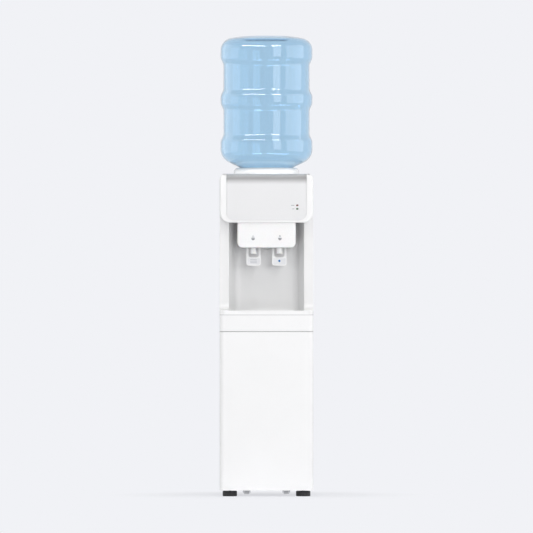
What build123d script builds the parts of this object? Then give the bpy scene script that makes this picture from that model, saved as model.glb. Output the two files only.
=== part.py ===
from build123d import *
import os
from math import cos, pi, radians, sqrt, tan

# Top-load bottled water cooler. Millimetres, +Z up, front towards -Y.
# The origin is on the floor, under the centre of the whole object's box.

# ---------------- Driving dimensions ----------------
# Cabinet
overall_width = 276.0
body_depth = 300.0
condenser_space = 25.0
foot_height = 17.5
lower_panel_height = 467.9
apron_gap = 0.6
apron_height = 60.0
niche_height = 259.0
head_height = 144.0
lid_height = 24.0
front_depth = 57.5
moulded_wall = 3.0
sheet = 1.0
front_corner_radius = 14.0
shoulder_radius = 16.0

# Base pan
base_height = 40.0
base_clearance = 0.5
foot_boss_radius = 9.0
foot_boss_height = 16.0

# Side and rear sheets
flange_width = 12.0
louvre_length = 46.0
louvre_height = 5.0
louvre_pitch = 12.0
louvre_rows = 9
louvre_columns = 2
louvre_base = 120.0

# Lower front panel
lower_setback = 2.5

# Columns and niche
column_setback = 38.0
niche_front_width = 222.0
niche_back_width = 181.0
niche_depth = 115.0
niche_corner_radius = 20.0
column_foot_reach = 18.0
column_foot_rise = 22.0
column_foot_sag = 5.0
column_lip = 3.0

# Head
bezel_inset = 1.5
bezel_side_rail = 18.2
bezel_bottom_rail = 6.5
bezel_corner_radius = 29.0
bezel_edge_radius = 4.0
bezel_top_radius = 10.0
fascia_gap = 0.4
fascia_recess = 1.5
fascia_thickness = 2.5
fascia_roll_radius = 29.0
fascia_corner_radius = 22.0
lamp_inset = 47.5
power_lamp_height = 51.0
lamp_spacing = 10.3
lamp_length = 7.0
lamp_width = 5.0
lamp_clearance = 0.1
lamp_proud = 0.4
lamp_flange = 1.2
lamp_board_width = 30.0
lamp_board_height = 34.0
lamp_board_thickness = 1.6
lamp_chip_radius = 1.5

# Nozzle housing
housing_width = 171.0
housing_height = 73.5
housing_setback = 7.5
housing_depth = 80.0
housing_wall = 2.5
housing_corner_radius = 15.0
housing_edge_radius = 3.0
slot_half_width = 24.5
slot_front_gap = 3.0
slot_rear_gap = 11.0

# Taps
tap_spacing = 76.0
tap_setback = 40.5
nozzle_drop = 17.5
nozzle_radius = 9.5
nozzle_bore = 5.5
barrel_drop = 37.0
barrel_radius = 10.0
barrel_front = 18.0
barrel_rear = 18.0
barrel_wall = 3.0
barrel_bore = 6.0
tap_flange_width = 40.0
tap_flange_depth = 38.0
tap_flange_thickness = 3.5
barb_radius = 4.5
barb_bore = 3.0
barb_height = 6.0
barb_setback = 8.0
column_radius = 8.0
ear_inner = 9.0
ear_thickness = 4.0
ear_radius = 6.0
plunger_radius = 3.0
plunger_head_length = 4.0
running_clearance = 0.08
spring_wire = 0.8
spring_turns = 6
spring_clearance = 0.6

# Paddles
pivot_setback = 29.0
pivot_drop = 55.0
pin_radius = 2.0
paddle_width = 42.0
paddle_thickness = 4.0
paddle_arm = 6.0
paddle_drop = 52.5
paddle_plate_height = 24.0
paddle_corner_radius = 7.0
paddle_border = 2.5
paddle_dish = 1.0
paddle_window_radius = 8.0
cam_height = 8.0
cam_clearance = 0.4
dot_radius = 3.25
dot_height = 13.7
dot_thickness = 1.0
dot_proud = 0.3

# Drip tray
tray_lip_width = 250.0
tray_lip_depth = 14.0
tray_lip_height = 11.5
tray_width = 176.0
tray_depth = 96.0
tray_drop = 28.0
tray_wall = 2.0
tray_corner_radius = 14.0
tray_gap = 0.8
well_floor_gap = 1.0
grille_thickness = 3.0
grille_gap = 0.6
grille_slot = 6.0
grille_pitch = 12.0
grille_margin = 12.0
grille_ledge = 2.0

# Bottle
ring_radius = 136.0
waist_radius = 127.5
ring_flat = 24.0
ring_slope = 18.0
ring_pitch = 134.0
ring_count = 3
lowest_ring_rise = 67.5
base_rise = 54.5
crown_angle = 10.0
crown_radius = 36.0
rim_radius = 74.0
punt_radius = 60.0
punt_depth = 12.0
shoulder_angle = 25.0
bottle_shoulder_radius = 43.0
bottle_wall = 1.6
neck_radius = 26.0
neck_length = 54.0
ring_blend = 5.0
cap_skirt_length = 30.0
cap_wall = 2.0
cap_gap = 0.05
sleeve_length = 22.0
sleeve_wall = 1.5
sleeve_clearance = 0.5

# Collar, funnel and probe
collar_radius = 97.0
collar_height = 19.0
collar_bore = 70.0
collar_wall = 3.0
collar_edge_radius = 12.0
collar_edge_slack = 0.5
seat_radius = 77.0
seat_gap = 0.4
lid_bore = 66.0
funnel_wall = 2.5
funnel_flange = 69.0
funnel_throat = 38.0
funnel_mouth = 62.0
funnel_cone_drop = 24.0
funnel_depth = 77.0
outlet_radius = 11.0
outlet_length = 24.0
probe_radius = 9.0
probe_bore = 5.5
probe_base_radius = 30.0
probe_base_thickness = 3.0
probe_height = 55.0
probe_window_radius = 3.0
probe_hole_count = 6

# Cold tank
tank_radius = 58.0
tank_height = 205.0
tank_wall = 1.0
tank_axis_back = 32.0
tank_top_drop = 99.0
tank_edge_radius = 14.0
baffle_thickness = 3.0
baffle_drop = 50.0
baffle_gap = 0.4
baffle_hole_ring = 40.0
baffle_hole_count = 8
baffle_leg_inset = 10.0
evaporator_wall = 3.0
evaporator_margin = 40.0
insulation_wall = 11.0
insulation_cover = 12.0
insulation_gap = 0.5
spigot_radius = 4.5
spigot_bore = 3.0
spigot_length = 36.0
spigot_drop = 24.0
hose_clearance = 0.1
hose_wall = 2.0
hose_bend = 14.0
shelf_flange = 18.0
shelf_overhang = 12.0
pipe_hole = 8.0
thermostat_width = 24.0
thermostat_depth = 34.0
thermostat_height = 44.0

# Cooling circuit
pipe_radius = 2.5
capillary_radius = 1.2
capillary_drop = 20.0
capillary_offset = 18.0
compressor_width = 120.0
compressor_length = 150.0
compressor_height = 150.0
compressor_corner = 56.0
compressor_dome = 34.0
compressor_seam = 3.0
compressor_plate_length = 176.0
compressor_plate_gap = 6.0
compressor_plate_thickness = 3.0
stub_spacing = 70.0
stub_height = 14.0
mount_radius = 10.0
mount_height = 12.0
mount_waist = 7.5
mount_bolt_radius = 3.0
drier_radius = 9.0
drier_length = 84.0
drier_neck = 10.0
condenser_half_width = 105.0
condenser_base = 320.0
condenser_pitch = 56.0
condenser_runs = 11
condenser_bend_share = 0.47
condenser_inner_y = 112.0
condenser_wires = 24
wire_width = 1.6
wire_overhang = 10.0
bracket_width = 14.0
bracket_thickness = 1.5

# Rear fittings
gland_inset = 42.0
gland_height = 92.0
gland_bore = 3.8
gland_radius = 7.0
gland_flange = 11.0
gland_length = 18.0
gland_flange_thickness = 3.0
switch_inset = 42.0
switch_width = 15.0
switch_height = 21.0
switch_depth = 16.0
switch_rim = 2.5
switch_wall = 1.5
rocker_gap = 0.4
rocker_pin_radius = 1.2
rocker_pin_gap = 0.06
rocker_pin_length = 1.4
rocker_pivot_depth = 3.0
drain_height = 270.0
drain_radius = 7.0
drain_bore = 5.0
drain_flange = 13.0
drain_flange_thickness = 3.0
drain_proud = 12.0
drain_cap_wall = 2.5
drain_cap_gap = 0.3
screw_head_radius = 4.0
screw_head_height = 2.0
screw_rows = 4
screw_end_margin = 40.0

# Feet and rollers
foot_inset = 30.0
foot_setback = 34.0
foot_radius = 21.0
foot_pad_height = 16.0
foot_edge_radius = 2.0
stem_radius = 4.0
stem_clearance = 0.1
stem_length = 26.0
roller_inset = 79.0
roller_back = 30.0
roller_radius = 12.0
roller_width = 16.0
roller_bore_gap = 0.06
roller_axle_radius = 3.0
roller_plate = 2.0
roller_side_gap = 1.0
roller_plate_depth = 16.0
roller_recess_gap = 3.0

# ---------------- Levels and planes worked out from them ----------------
half_width = overall_width / 2
lamp_x = half_width - lamp_inset
gland_x = half_width - gland_inset
switch_x = switch_inset - half_width
overall_depth = body_depth + condenser_space
front_y = -overall_depth / 2
rear_y = front_y + body_depth
edge_y = front_y + front_depth
column_y = front_y + column_setback
niche_back_y = front_y + niche_depth

base_z = foot_height
lower_top_z = base_z + lower_panel_height
apron_z = lower_top_z + apron_gap
niche_z = apron_z + apron_height
head_z = niche_z + niche_height
head_top_z = head_z + head_height
lid_z = head_top_z - lid_height
collar_top_z = head_top_z + collar_height
base_floor_z = base_z + moulded_wall

tap_y = front_y + tap_setback
pivot_y = tap_y + pivot_setback
pivot_z = head_z - pivot_drop
barrel_z = head_z - barrel_drop
housing_z = head_z - housing_height
nozzle_z = housing_z - nozzle_drop
housing_front_y = front_y + housing_setback
barb_y = tap_y + barb_setback
barb_top_z = head_z + moulded_wall + barb_height
barrel_rear_y = tap_y + barrel_rear
barrel_front_y = tap_y - barrel_front
paddle_z = housing_z - paddle_drop
paddle_window_z = paddle_z + paddle_plate_height
cam_front_y = pivot_y - paddle_thickness / 2
tap_xs = (-tap_spacing / 2, tap_spacing / 2)

tray_lip_z = niche_z - tray_lip_height
tray_z = niche_z - tray_drop
tray_front_y = front_y + tray_lip_depth
tray_rear_y = tray_front_y + tray_depth
grille_top_z = niche_z - grille_ledge

shoulder_slope = tan(radians(shoulder_angle))
neck_root_z = collar_top_z - (seat_radius - neck_radius) * shoulder_slope
neck_end_z = neck_root_z - neck_length
ring_zs = [collar_top_z + lowest_ring_rise + row * ring_pitch for row in range(ring_count)]
bottle_top_z = ring_zs[-1] + base_rise
cap_bore = neck_radius + cap_gap
sleeve_bore = probe_radius + sleeve_clearance

funnel_floor_z = head_top_z - funnel_depth
tank_y = tank_axis_back
tank_top_z = head_top_z - tank_top_drop
tank_z = tank_top_z - tank_height
spigot_z = tank_top_z - spigot_drop
evaporator_radius = tank_radius + evaporator_wall
insulation_bore = evaporator_radius + insulation_gap
insulation_radius = insulation_bore + insulation_wall
insulation_top_z = tank_top_z + insulation_cover
insulation_z = tank_z - insulation_cover
hose_bore = spigot_radius + hose_clearance
hose_radius = hose_bore + hose_wall

compressor_z = base_floor_z + mount_height + compressor_plate_thickness
compressor_top_z = compressor_z + compressor_height
stub_top_z = compressor_top_z + stub_height
condenser_y = rear_y + condenser_space - wire_width - pipe_radius
condenser_top = condenser_base + (condenser_runs - 1) * condenser_pitch
drier_top_z = condenser_base - 2 * drier_neck
suction_z = tank_z + tank_edge_radius + evaporator_margin
capillary_z = tank_top_z - evaporator_margin - capillary_drop
capillary_x = condenser_half_width - capillary_offset

foot_y = front_y + foot_setback
foot_xs = (foot_inset - half_width, half_width - foot_inset)
roller_y = rear_y - roller_back
roller_xs = (roller_inset - half_width, half_width - roller_inset)
bracket_half_width = roller_width / 2 + roller_side_gap + roller_plate
bracket_top_z = 2 * roller_radius + 2 * roller_plate
compressor_plate_width = 2 * (roller_xs[1] - bracket_half_width - compressor_plate_gap)


# ---------------- Shared shapes ----------------
def slab(xs, ys, zs):
    """Box from its low and high x, y and z."""
    size = Box(xs[1] - xs[0], ys[1] - ys[0], zs[1] - zs[0])
    return Pos((xs[0] + xs[1]) / 2, (ys[0] + ys[1]) / 2, (zs[0] + zs[1]) / 2) * size


def front_prism(outline, y_front, y_back):
    """A front-view (X, Z) outline carried from y_back to y_front."""
    plane = Plane((0, y_back, 0), x_dir=(1, 0, 0), z_dir=(0, -1, 0))
    return extrude(plane * outline, y_back - y_front)


def side_prism(outline, x_low, x_high):
    """A side-view (Y, Z) outline carried from x_low to x_high."""
    plane = Plane((x_low, 0, 0), x_dir=(0, 1, 0), z_dir=(1, 0, 0))
    return extrude(plane * outline, x_high - x_low)


def plan_prism(outline, z_low, z_high):
    """A plan-view (X, Y) outline carried from z_low to z_high."""
    return extrude(Plane((0, 0, z_low)) * outline, z_high - z_low)


def polygon(*points):
    """Flat face inside straight edges."""
    return make_face(Polyline(*points, close=True))


def rounded(xs, ys, radius):
    """Rectangle with round corners from its low and high sides."""
    outline = RectangleRounded(xs[1] - xs[0], ys[1] - ys[0], radius)
    return Pos((xs[0] + xs[1]) / 2, (ys[0] + ys[1]) / 2) * outline


def turned(*points):
    """Solid of revolution about Z from (radius, z) points."""
    return revolve(Plane.XZ * polygon(*points), axis=Axis.Z)


def upright(radius, x, y, z_low, z_high):
    """Vertical cylinder between two heights."""
    return Pos(x, y, (z_low + z_high) / 2) * Cylinder(radius, z_high - z_low)


def along_y(radius, x, z, y_low, y_high):
    """Cylinder parallel to Y."""
    return Pos(x, (y_low + y_high) / 2, z) * (Rot(90, 0, 0) * Cylinder(radius, y_high - y_low))


def along_x(radius, y, z, x_low, x_high):
    """Cylinder parallel to X."""
    return Pos((x_low + x_high) / 2, y, z) * (Rot(0, 90, 0) * Cylinder(radius, x_high - x_low))


def tube(points, radii, outer, bore=0.0):
    """Pipe or hose along straight runs joined by tangent arcs."""
    path = FilletPolyline(*points, radius=radii)
    start = Plane(path @ 0, z_dir=path % 0)
    section = Circle(outer)
    if bore > 0:
        section -= Circle(bore)
    return sweep(start * section, path=path)


def group(solids):
    """Several separate solids kept as one node."""
    return Compound(children=[part for solid in solids for part in solid.solids()])


# ---------------- Cabinet ----------------
def base_pan():
    """Moulded tray under the cabinet, with foot bosses and roller cut-outs."""
    front_half = half_width - moulded_wall - base_clearance
    front = front_y + lower_setback + moulded_wall + base_clearance
    radius = front_corner_radius - moulded_wall - base_clearance
    plan = rounded((-front_half, front_half), (front, edge_y + front_depth), radius)
    plan += Pos(0, (edge_y + rear_y - sheet) / 2) * Rectangle(
        overall_width - 2 * sheet, rear_y - sheet - edge_y)
    pan = plan_prism(plan, base_z, base_z + base_height)
    pan -= plan_prism(offset(plan, -moulded_wall), base_floor_z, base_z + base_height)
    for x in foot_xs:
        pan += upright(foot_boss_radius, x, foot_y, base_z, base_floor_z + foot_boss_height)
        pan -= upright(stem_radius + stem_clearance, x, foot_y, 0, base_z + base_height)
    reach = roller_width / 2 + roller_side_gap + roller_recess_gap
    back = roller_radius + roller_recess_gap
    for x in roller_xs:
        pan -= slab((x - reach, x + reach), (roller_y - back, roller_y + back), (0, base_floor_z))
    return pan


def side_panel(side):
    """Sheet-steel side with folded front and rear flanges; side is -1 or 1."""
    outer = side * half_width
    inner = side * (half_width - sheet)
    fold = side * (half_width - flange_width)
    low = base_z + base_height + base_clearance
    xs = sorted((outer, inner))
    fold_xs = sorted((outer, fold))
    panel = slab(xs, (edge_y, rear_y - sheet), (base_z, lid_z))
    panel += slab(fold_xs, (edge_y, edge_y + sheet), (low, lid_z))
    panel += slab(fold_xs, (rear_y - 2 * sheet, rear_y - sheet), (low, lid_z))
    return panel


def louvre_centres():
    """Centres of the rear louvres as (x, z)."""
    pitch = louvre_length + louvre_pitch
    first = -pitch * (louvre_columns - 1) / 2
    rows = [louvre_base + row * louvre_pitch for row in range(louvre_rows)]
    return [(first + column * pitch, z) for column in range(louvre_columns) for z in rows]


def rear_panel():
    """Steel back with louvres and the holes of the rear fittings."""
    ys = (rear_y - sheet, rear_y)
    panel = slab((-half_width, half_width), ys, (base_z, lid_z))
    slot = SlotOverall(louvre_length, louvre_height)
    for x, z in louvre_centres():
        panel -= front_prism(Pos(x, z) * slot, *ys)
    panel -= along_y(gland_radius, gland_x, gland_height, *ys)
    panel -= along_y(drain_radius, 0, drain_height, *ys)
    switch = Pos(switch_x, gland_height) * Rectangle(switch_width, switch_height)
    panel -= front_prism(switch, *ys)
    for x, z in ((condenser_half_width, condenser_base), (-condenser_half_width, condenser_top)):
        panel -= along_y(2 * pipe_radius, x, z, *ys)
    return panel


def front_shell_plan(front, inset):
    """Plan of a front moulding: round front corners, open towards the rear."""
    half = half_width - inset
    low = front + inset
    radius = front_corner_radius - inset
    plan = rounded((-half, half), (low, edge_y + front_depth), radius)
    return plan - Pos(0, edge_y + overall_depth / 2) * Rectangle(overall_width, overall_depth)


def lower_front_panel():
    """Plain front moulding with round edges, closed at top and bottom."""
    front = front_y + lower_setback
    panel = plan_prism(front_shell_plan(front, 0), base_z, lower_top_z)
    hollow = plan_prism(front_shell_plan(front, moulded_wall), base_z, lower_top_z - moulded_wall)
    return panel - hollow


def column_outline(inset):
    """Side view of the surround: upright, with a concave foot that reaches out over the tray."""
    front = column_y + inset
    toe = (front - column_foot_reach, niche_z + column_lip)
    heel = (front, niche_z + column_foot_rise)
    edges = Polyline((edge_y, niche_z), (toe[0], niche_z), toe)
    edges += SagittaArc(toe, heel, -column_foot_sag)
    edges += Polyline(heel, (front, lid_z), (edge_y, lid_z), (edge_y, niche_z))
    return make_face(edges)


def niche_plan(grow):
    """Plan of the niche: side walls splayed towards the front, round back corners."""
    front_half = niche_front_width / 2 + grow
    back_half = niche_back_width / 2 + grow
    back = niche_back_y + grow
    mouth = front_y - moulded_wall
    plan = polygon((-front_half, mouth), (-front_half, column_y), (-back_half, back),
                   (back_half, back), (front_half, column_y), (front_half, mouth))
    corners = plan.vertices().group_by(Axis.Y)[-1]
    return fillet(corners, niche_corner_radius)


def front_surround():
    """Columns and niche liner in one thin-walled moulding."""
    surround = side_prism(column_outline(0), -half_width, half_width)
    hollow = side_prism(column_outline(moulded_wall), moulded_wall - half_width, half_width - moulded_wall)
    liner = plan_prism(niche_plan(moulded_wall), niche_z, head_z + moulded_wall)
    liner &= slab((-half_width, half_width), (column_y, niche_back_y + moulded_wall),
                  (niche_z, head_z + moulded_wall))
    surround = surround - (hollow - liner) + liner
    surround -= plan_prism(niche_plan(0), niche_z, head_z)
    window = half_width - moulded_wall
    surround -= slab((-window, window), (column_y - column_setback, edge_y),
                     (head_z + bezel_corner_radius, lid_z))
    for x in tap_xs:
        surround -= upright(hose_radius + moulded_wall, x, barb_y, head_z, head_z + moulded_wall)
    return surround


def tray_apron():
    """Front section below the niche, with the well that the drip tray drops into."""
    shelf_half = niche_back_width / 2 + moulded_wall
    plan = front_shell_plan(front_y, 0)
    apron = plan_prism(plan, apron_z, niche_z)
    apron += slab((-shelf_half, shelf_half), (edge_y, niche_back_y + moulded_wall), (apron_z, niche_z))
    hollow = plan_prism(front_shell_plan(front_y, moulded_wall), apron_z, niche_z - moulded_wall)
    hollow += slab((moulded_wall - shelf_half, shelf_half - moulded_wall), (edge_y, niche_back_y),
                   (apron_z, niche_z - moulded_wall))
    half = tray_width / 2 + tray_gap
    ys = (tray_front_y - tray_gap, tray_rear_y + tray_gap)
    floor = tray_z - well_floor_gap
    lip_half = tray_lip_width / 2 + tray_gap
    well = slab((-half, half), ys, (floor, niche_z))
    ledge = slab((-lip_half, lip_half), (front_y, tray_front_y), (tray_lip_z, niche_z))
    walls = slab((-half - moulded_wall, half + moulded_wall), (front_y, ys[1] + moulded_wall),
                 (floor - moulded_wall, niche_z))
    walls += slab((-lip_half - moulded_wall, lip_half + moulded_wall),
                  (front_y, tray_front_y + moulded_wall), (tray_lip_z - moulded_wall, niche_z))
    return apron - (hollow - walls) - well - ledge


def lid():
    """Top moulding with round side shoulders and the hole of the bottle seat."""
    outline = rounded((-half_width, half_width), (lid_z - lid_height, head_top_z), shoulder_radius)
    outline -= Pos(0, lid_z - lid_height / 2) * Rectangle(overall_width, lid_height)
    top = front_prism(outline, column_y, rear_y)
    inner = rounded((moulded_wall - half_width, half_width - moulded_wall),
                    (lid_z - lid_height, head_top_z - moulded_wall), shoulder_radius - moulded_wall)
    top -= front_prism(inner, column_y + moulded_wall, rear_y - moulded_wall)
    return top - upright(lid_bore, 0, 0, lid_z, head_top_z)


# ---------------- Head ----------------
def bezel_outline(inset):
    """Front view of the head: round lower corners and round upper shoulders."""
    half = half_width - bezel_inset - inset
    low = head_z + inset
    high = head_top_z
    outline = polygon((-half, low), (half, low), (half, high), (-half, high))
    lower = outline.vertices().group_by(Axis.Y)[0]
    outline = fillet(lower, bezel_corner_radius - inset)
    upper = outline.vertices().group_by(Axis.Y)[-1]
    return fillet(upper, shoulder_radius - bezel_inset)


def fascia_outline(gap):
    """Front view of the inset fascia, with a gap all round."""
    half = half_width - bezel_inset - bezel_side_rail - gap
    low = head_z + bezel_bottom_rail + gap
    outline = polygon((-half, low), (half, low), (half, head_top_z), (-half, head_top_z))
    return fillet(outline.vertices().group_by(Axis.Y)[0], fascia_corner_radius - gap)


def head_bezel():
    """U-shaped rail round the fascia, hollow from behind."""
    bezel = front_prism(bezel_outline(0), front_y, column_y)
    front_edges = bezel.faces().sort_by(Axis.Y)[0].edges()
    bezel = fillet(front_edges, bezel_edge_radius)
    hollow = front_prism(bezel_outline(moulded_wall), front_y + moulded_wall, column_y)
    rails = front_prism(fascia_outline(-moulded_wall), front_y, column_y)
    bezel -= hollow - rails
    side = polygon((front_y, head_z), (column_y, head_z), (column_y, head_top_z), (front_y, head_top_z))
    side = fillet(side.vertices().group_by(Axis.Y)[-1].sort_by(Axis.X)[0], bezel_top_radius)
    bezel &= side_prism(side, -half_width, half_width)
    return bezel - front_prism(fascia_outline(0), front_y, column_y)


def fascia_profile(inset):
    """Side view of the fascia: upright, then rolled back onto the lid."""
    front = front_y + fascia_recess + inset
    high = head_top_z - inset
    low = head_z
    outline = polygon((front, low), (column_y, low), (column_y, high), (front, high))
    corner = outline.vertices().filter_by(lambda v: v.Y > low and v.X < column_y)
    return fillet(corner, fascia_roll_radius - inset)


def lamp_slot(gap, height_down):
    """Rounded lamp outline at one height below the head's top."""
    z = head_z + power_lamp_height - height_down
    return Pos(lamp_x, z) * SlotOverall(lamp_length + 2 * gap, lamp_width + 2 * gap)


def fascia_panel():
    """Inset panel with a rolled top and two lamp holes."""
    half = half_width
    panel = side_prism(fascia_profile(0), -half, half)
    panel -= side_prism(fascia_profile(fascia_thickness), -half, half)
    panel &= front_prism(fascia_outline(fascia_gap), front_y, column_y)
    for row in range(2):
        hole = lamp_slot(lamp_clearance, row * lamp_spacing)
        panel -= front_prism(hole, front_y, front_y + 2 * fascia_thickness + fascia_recess)
    return panel


def lamp(row):
    """Lens of one lamp, seated in its hole."""
    front = front_y + fascia_recess - lamp_proud
    lens = front_prism(lamp_slot(0, row * lamp_spacing), front, front_y + fascia_recess + fascia_thickness)
    flange = lamp_slot(lamp_flange, row * lamp_spacing)
    back = front_y + fascia_recess + fascia_thickness
    return lens + front_prism(flange, back, back + lamp_board_thickness)


def lamp_board():
    """Circuit board behind the lamps with one chip for each."""
    y = front_y + fascia_recess + fascia_thickness + 2 * lamp_board_thickness
    centre = head_z + power_lamp_height - lamp_spacing / 2
    xs = (lamp_x - lamp_board_width / 2, lamp_x + lamp_board_width / 2)
    zs = (centre - lamp_board_height / 2, centre + lamp_board_height / 2)
    board = slab(xs, (y, y + lamp_board_thickness), zs)
    for row in range(2):
        z = head_z + power_lamp_height - row * lamp_spacing
        board += along_y(lamp_chip_radius, lamp_x, z, y - lamp_board_thickness, y)
    for x in xs:
        side = slab((x - lamp_board_thickness, x + lamp_board_thickness),
                    (y - 2 * lamp_board_thickness, y + lamp_board_thickness), zs)
        board += side
    return board


def nozzle_housing():
    """Hollow block under the head, open at the top and slotted below for the taps."""
    half = housing_width / 2
    ys = (housing_front_y, housing_front_y + housing_depth)
    outline = polygon((-half, housing_z), (half, housing_z), (half, head_z), (-half, head_z))
    outline = fillet(outline.vertices().group_by(Axis.Y)[0], housing_corner_radius)
    block = front_prism(outline, *ys)
    front_edges = block.faces().sort_by(Axis.Y)[0].edges().filter_by(
        lambda edge: edge.center().Z < head_z - housing_edge_radius)
    block = fillet(front_edges, housing_edge_radius)
    inner = polygon((housing_wall - half, housing_z + housing_wall),
                    (half - housing_wall, housing_z + housing_wall),
                    (half - housing_wall, head_z), (housing_wall - half, head_z))
    inner = fillet(inner.vertices().group_by(Axis.Y)[0], housing_corner_radius - housing_wall)
    block -= front_prism(inner, ys[0] + housing_wall, ys[1] - housing_wall)
    for x in tap_xs:
        block -= slab((x - slot_half_width, x + slot_half_width),
                      (tap_y - nozzle_radius - slot_front_gap, pivot_y + slot_rear_gap),
                      (housing_z, housing_z + 2 * housing_wall))
    return block


# ---------------- Taps ----------------
def tap_ear(x_low):
    """Plate that carries the paddle's pin beside the barrel."""
    step_y = barrel_rear_y + running_clearance
    ear = polygon((tap_y, barrel_z), (tap_y, pivot_z - ear_radius), (pivot_y, pivot_z - ear_radius),
                  (pivot_y, pivot_z + ear_radius), (step_y, pivot_z + ear_radius), (step_y, barrel_z))
    plate = side_prism(ear, x_low, x_low + ear_thickness)
    plate += along_x(ear_radius, pivot_y, pivot_z, x_low, x_low + ear_thickness)
    return plate


def tap_body():
    """Valve body: flange, hose barb, barrel, nozzle and ears, about x = 0."""
    body = slab((-tap_flange_width / 2, tap_flange_width / 2),
                (barb_y - tap_flange_depth / 2, barb_y + tap_flange_depth / 2),
                (head_z - tap_flange_thickness, head_z))
    body += upright(column_radius, 0, barb_y, barrel_z, head_z)
    body += upright(barb_radius, 0, barb_y, barrel_z, barb_top_z)
    body += along_y(barrel_radius, 0, barrel_z, barrel_front_y, barrel_rear_y)
    nozzle = upright(nozzle_radius, 0, tap_y, nozzle_z, barrel_z)
    body += fillet(nozzle.edges().sort_by(Axis.Z)[0], barrel_wall / 3)
    body += tap_ear(ear_inner) + tap_ear(-ear_inner - ear_thickness)
    body -= along_y(barrel_bore, 0, barrel_z, barrel_front_y + barrel_wall, barrel_rear_y - barrel_wall)
    body -= along_y(plunger_radius + running_clearance, 0, barrel_z,
                    barrel_rear_y - barrel_wall, barrel_rear_y)
    body -= upright(nozzle_bore, 0, tap_y, nozzle_z, barrel_z)
    body -= upright(barb_bore, 0, barb_y, barrel_z, barb_top_z)
    body -= along_x(pin_radius, pivot_y, pivot_z, -paddle_width / 2, paddle_width / 2)
    return body


def plunger():
    """Rod with a sealing head, pushed forward by the paddle's cam."""
    head_rear = barrel_rear_y - 2 * barrel_wall
    head_front = head_rear - plunger_head_length
    tip = cam_front_y - cam_clearance - plunger_radius
    rod = along_y(plunger_radius, 0, barrel_z, head_rear, tip)
    rod += Pos(0, tip, barrel_z) * Sphere(plunger_radius)
    return rod + along_y(barrel_bore - running_clearance, 0, barrel_z, head_front, head_rear)


def biarc(start, leaving, end, arriving):
    """Two arcs that join two points and keep the directions given at them."""
    chord = end - start
    spread = 2 * (1 - leaving.dot(arriving))
    along = chord.dot(leaving + arriving)
    reach = (sqrt(along * along + spread * chord.dot(chord)) - along) / spread
    joint = (start + end + (leaving - arriving) * reach) / 2
    middle = (joint - start - leaving * reach).normalized()
    return [TangentArc(start, joint, tangent=leaving), TangentArc(joint, end, tangent=middle)]


def return_spring():
    """Compression spring in front of the plunger, wound from half turns."""
    front = barrel_front_y + barrel_wall + spring_wire / 2
    rear = barrel_rear_y - 2 * barrel_wall - plunger_head_length - spring_wire / 2
    radius = barrel_bore - spring_clearance - spring_wire / 2
    rise = (rear - front) / (2 * spring_turns)
    slope = rise / pi
    arcs = []
    for half_turn in range(2 * spring_turns):
        side = 1 if half_turn % 2 == 0 else -1
        start = Vector(0, front + half_turn * rise, barrel_z + side * radius)
        end = Vector(0, front + (half_turn + 1) * rise, barrel_z - side * radius)
        leaving = Vector(side * radius, slope, 0).normalized()
        arriving = Vector(-side * radius, slope, 0).normalized()
        arcs += biarc(start, leaving, end, arriving)
    path = Wire([edge for arc in arcs for edge in arc.edges()])
    section = Plane(path @ 0, z_dir=path % 0) * Circle(spring_wire / 2)
    return sweep(section, path=path)


def paddle():
    """Push paddle: framed lower plate, two arms, hinge eyes and a cam bar, about x = 0."""
    half = paddle_width / 2
    window_half = half - paddle_arm
    cam_top = barrel_z + cam_height / 2
    outline = polygon((-half, paddle_z), (half, paddle_z), (half, cam_top), (-half, cam_top))
    outline = fillet(outline.vertices().group_by(Axis.Y)[0], paddle_corner_radius)
    window = polygon((-window_half, paddle_window_z), (window_half, paddle_window_z),
                     (window_half, cam_top - cam_height), (-window_half, cam_top - cam_height))
    window = fillet(window.vertices().group_by(Axis.Y)[0], paddle_window_radius)
    dish = polygon((paddle_border - half, paddle_z + paddle_border),
                   (half - paddle_border, paddle_z + paddle_border),
                   (half - paddle_border, paddle_window_z - paddle_border),
                   (paddle_border - half, paddle_window_z - paddle_border))
    dish = fillet(dish.vertices().group_by(Axis.Y)[0], paddle_corner_radius - paddle_border)
    front = pivot_y - paddle_thickness / 2
    blade = front_prism(outline - window, front, front + paddle_thickness)
    blade -= front_prism(dish, front, front + paddle_dish)
    for x_low in (-half, window_half):
        blade += along_x(ear_radius, pivot_y, pivot_z, x_low, x_low + paddle_arm)
    return blade - along_x(pin_radius + running_clearance, pivot_y, pivot_z, -half, half)


def paddle_pins():
    """One hinge pin for each tap, held in its ears."""
    half = paddle_width / 2 + running_clearance
    pin = along_x(pin_radius, pivot_y, pivot_z, -half, half)
    return group([Pos(x, 0, 0) * pin for x in tap_xs])


def cold_dot():
    """Coloured marker let into the cold paddle."""
    front = pivot_y - paddle_thickness / 2 + paddle_dish
    return along_y(dot_radius, tap_xs[1], paddle_z + dot_height, front - dot_proud, front)


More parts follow.
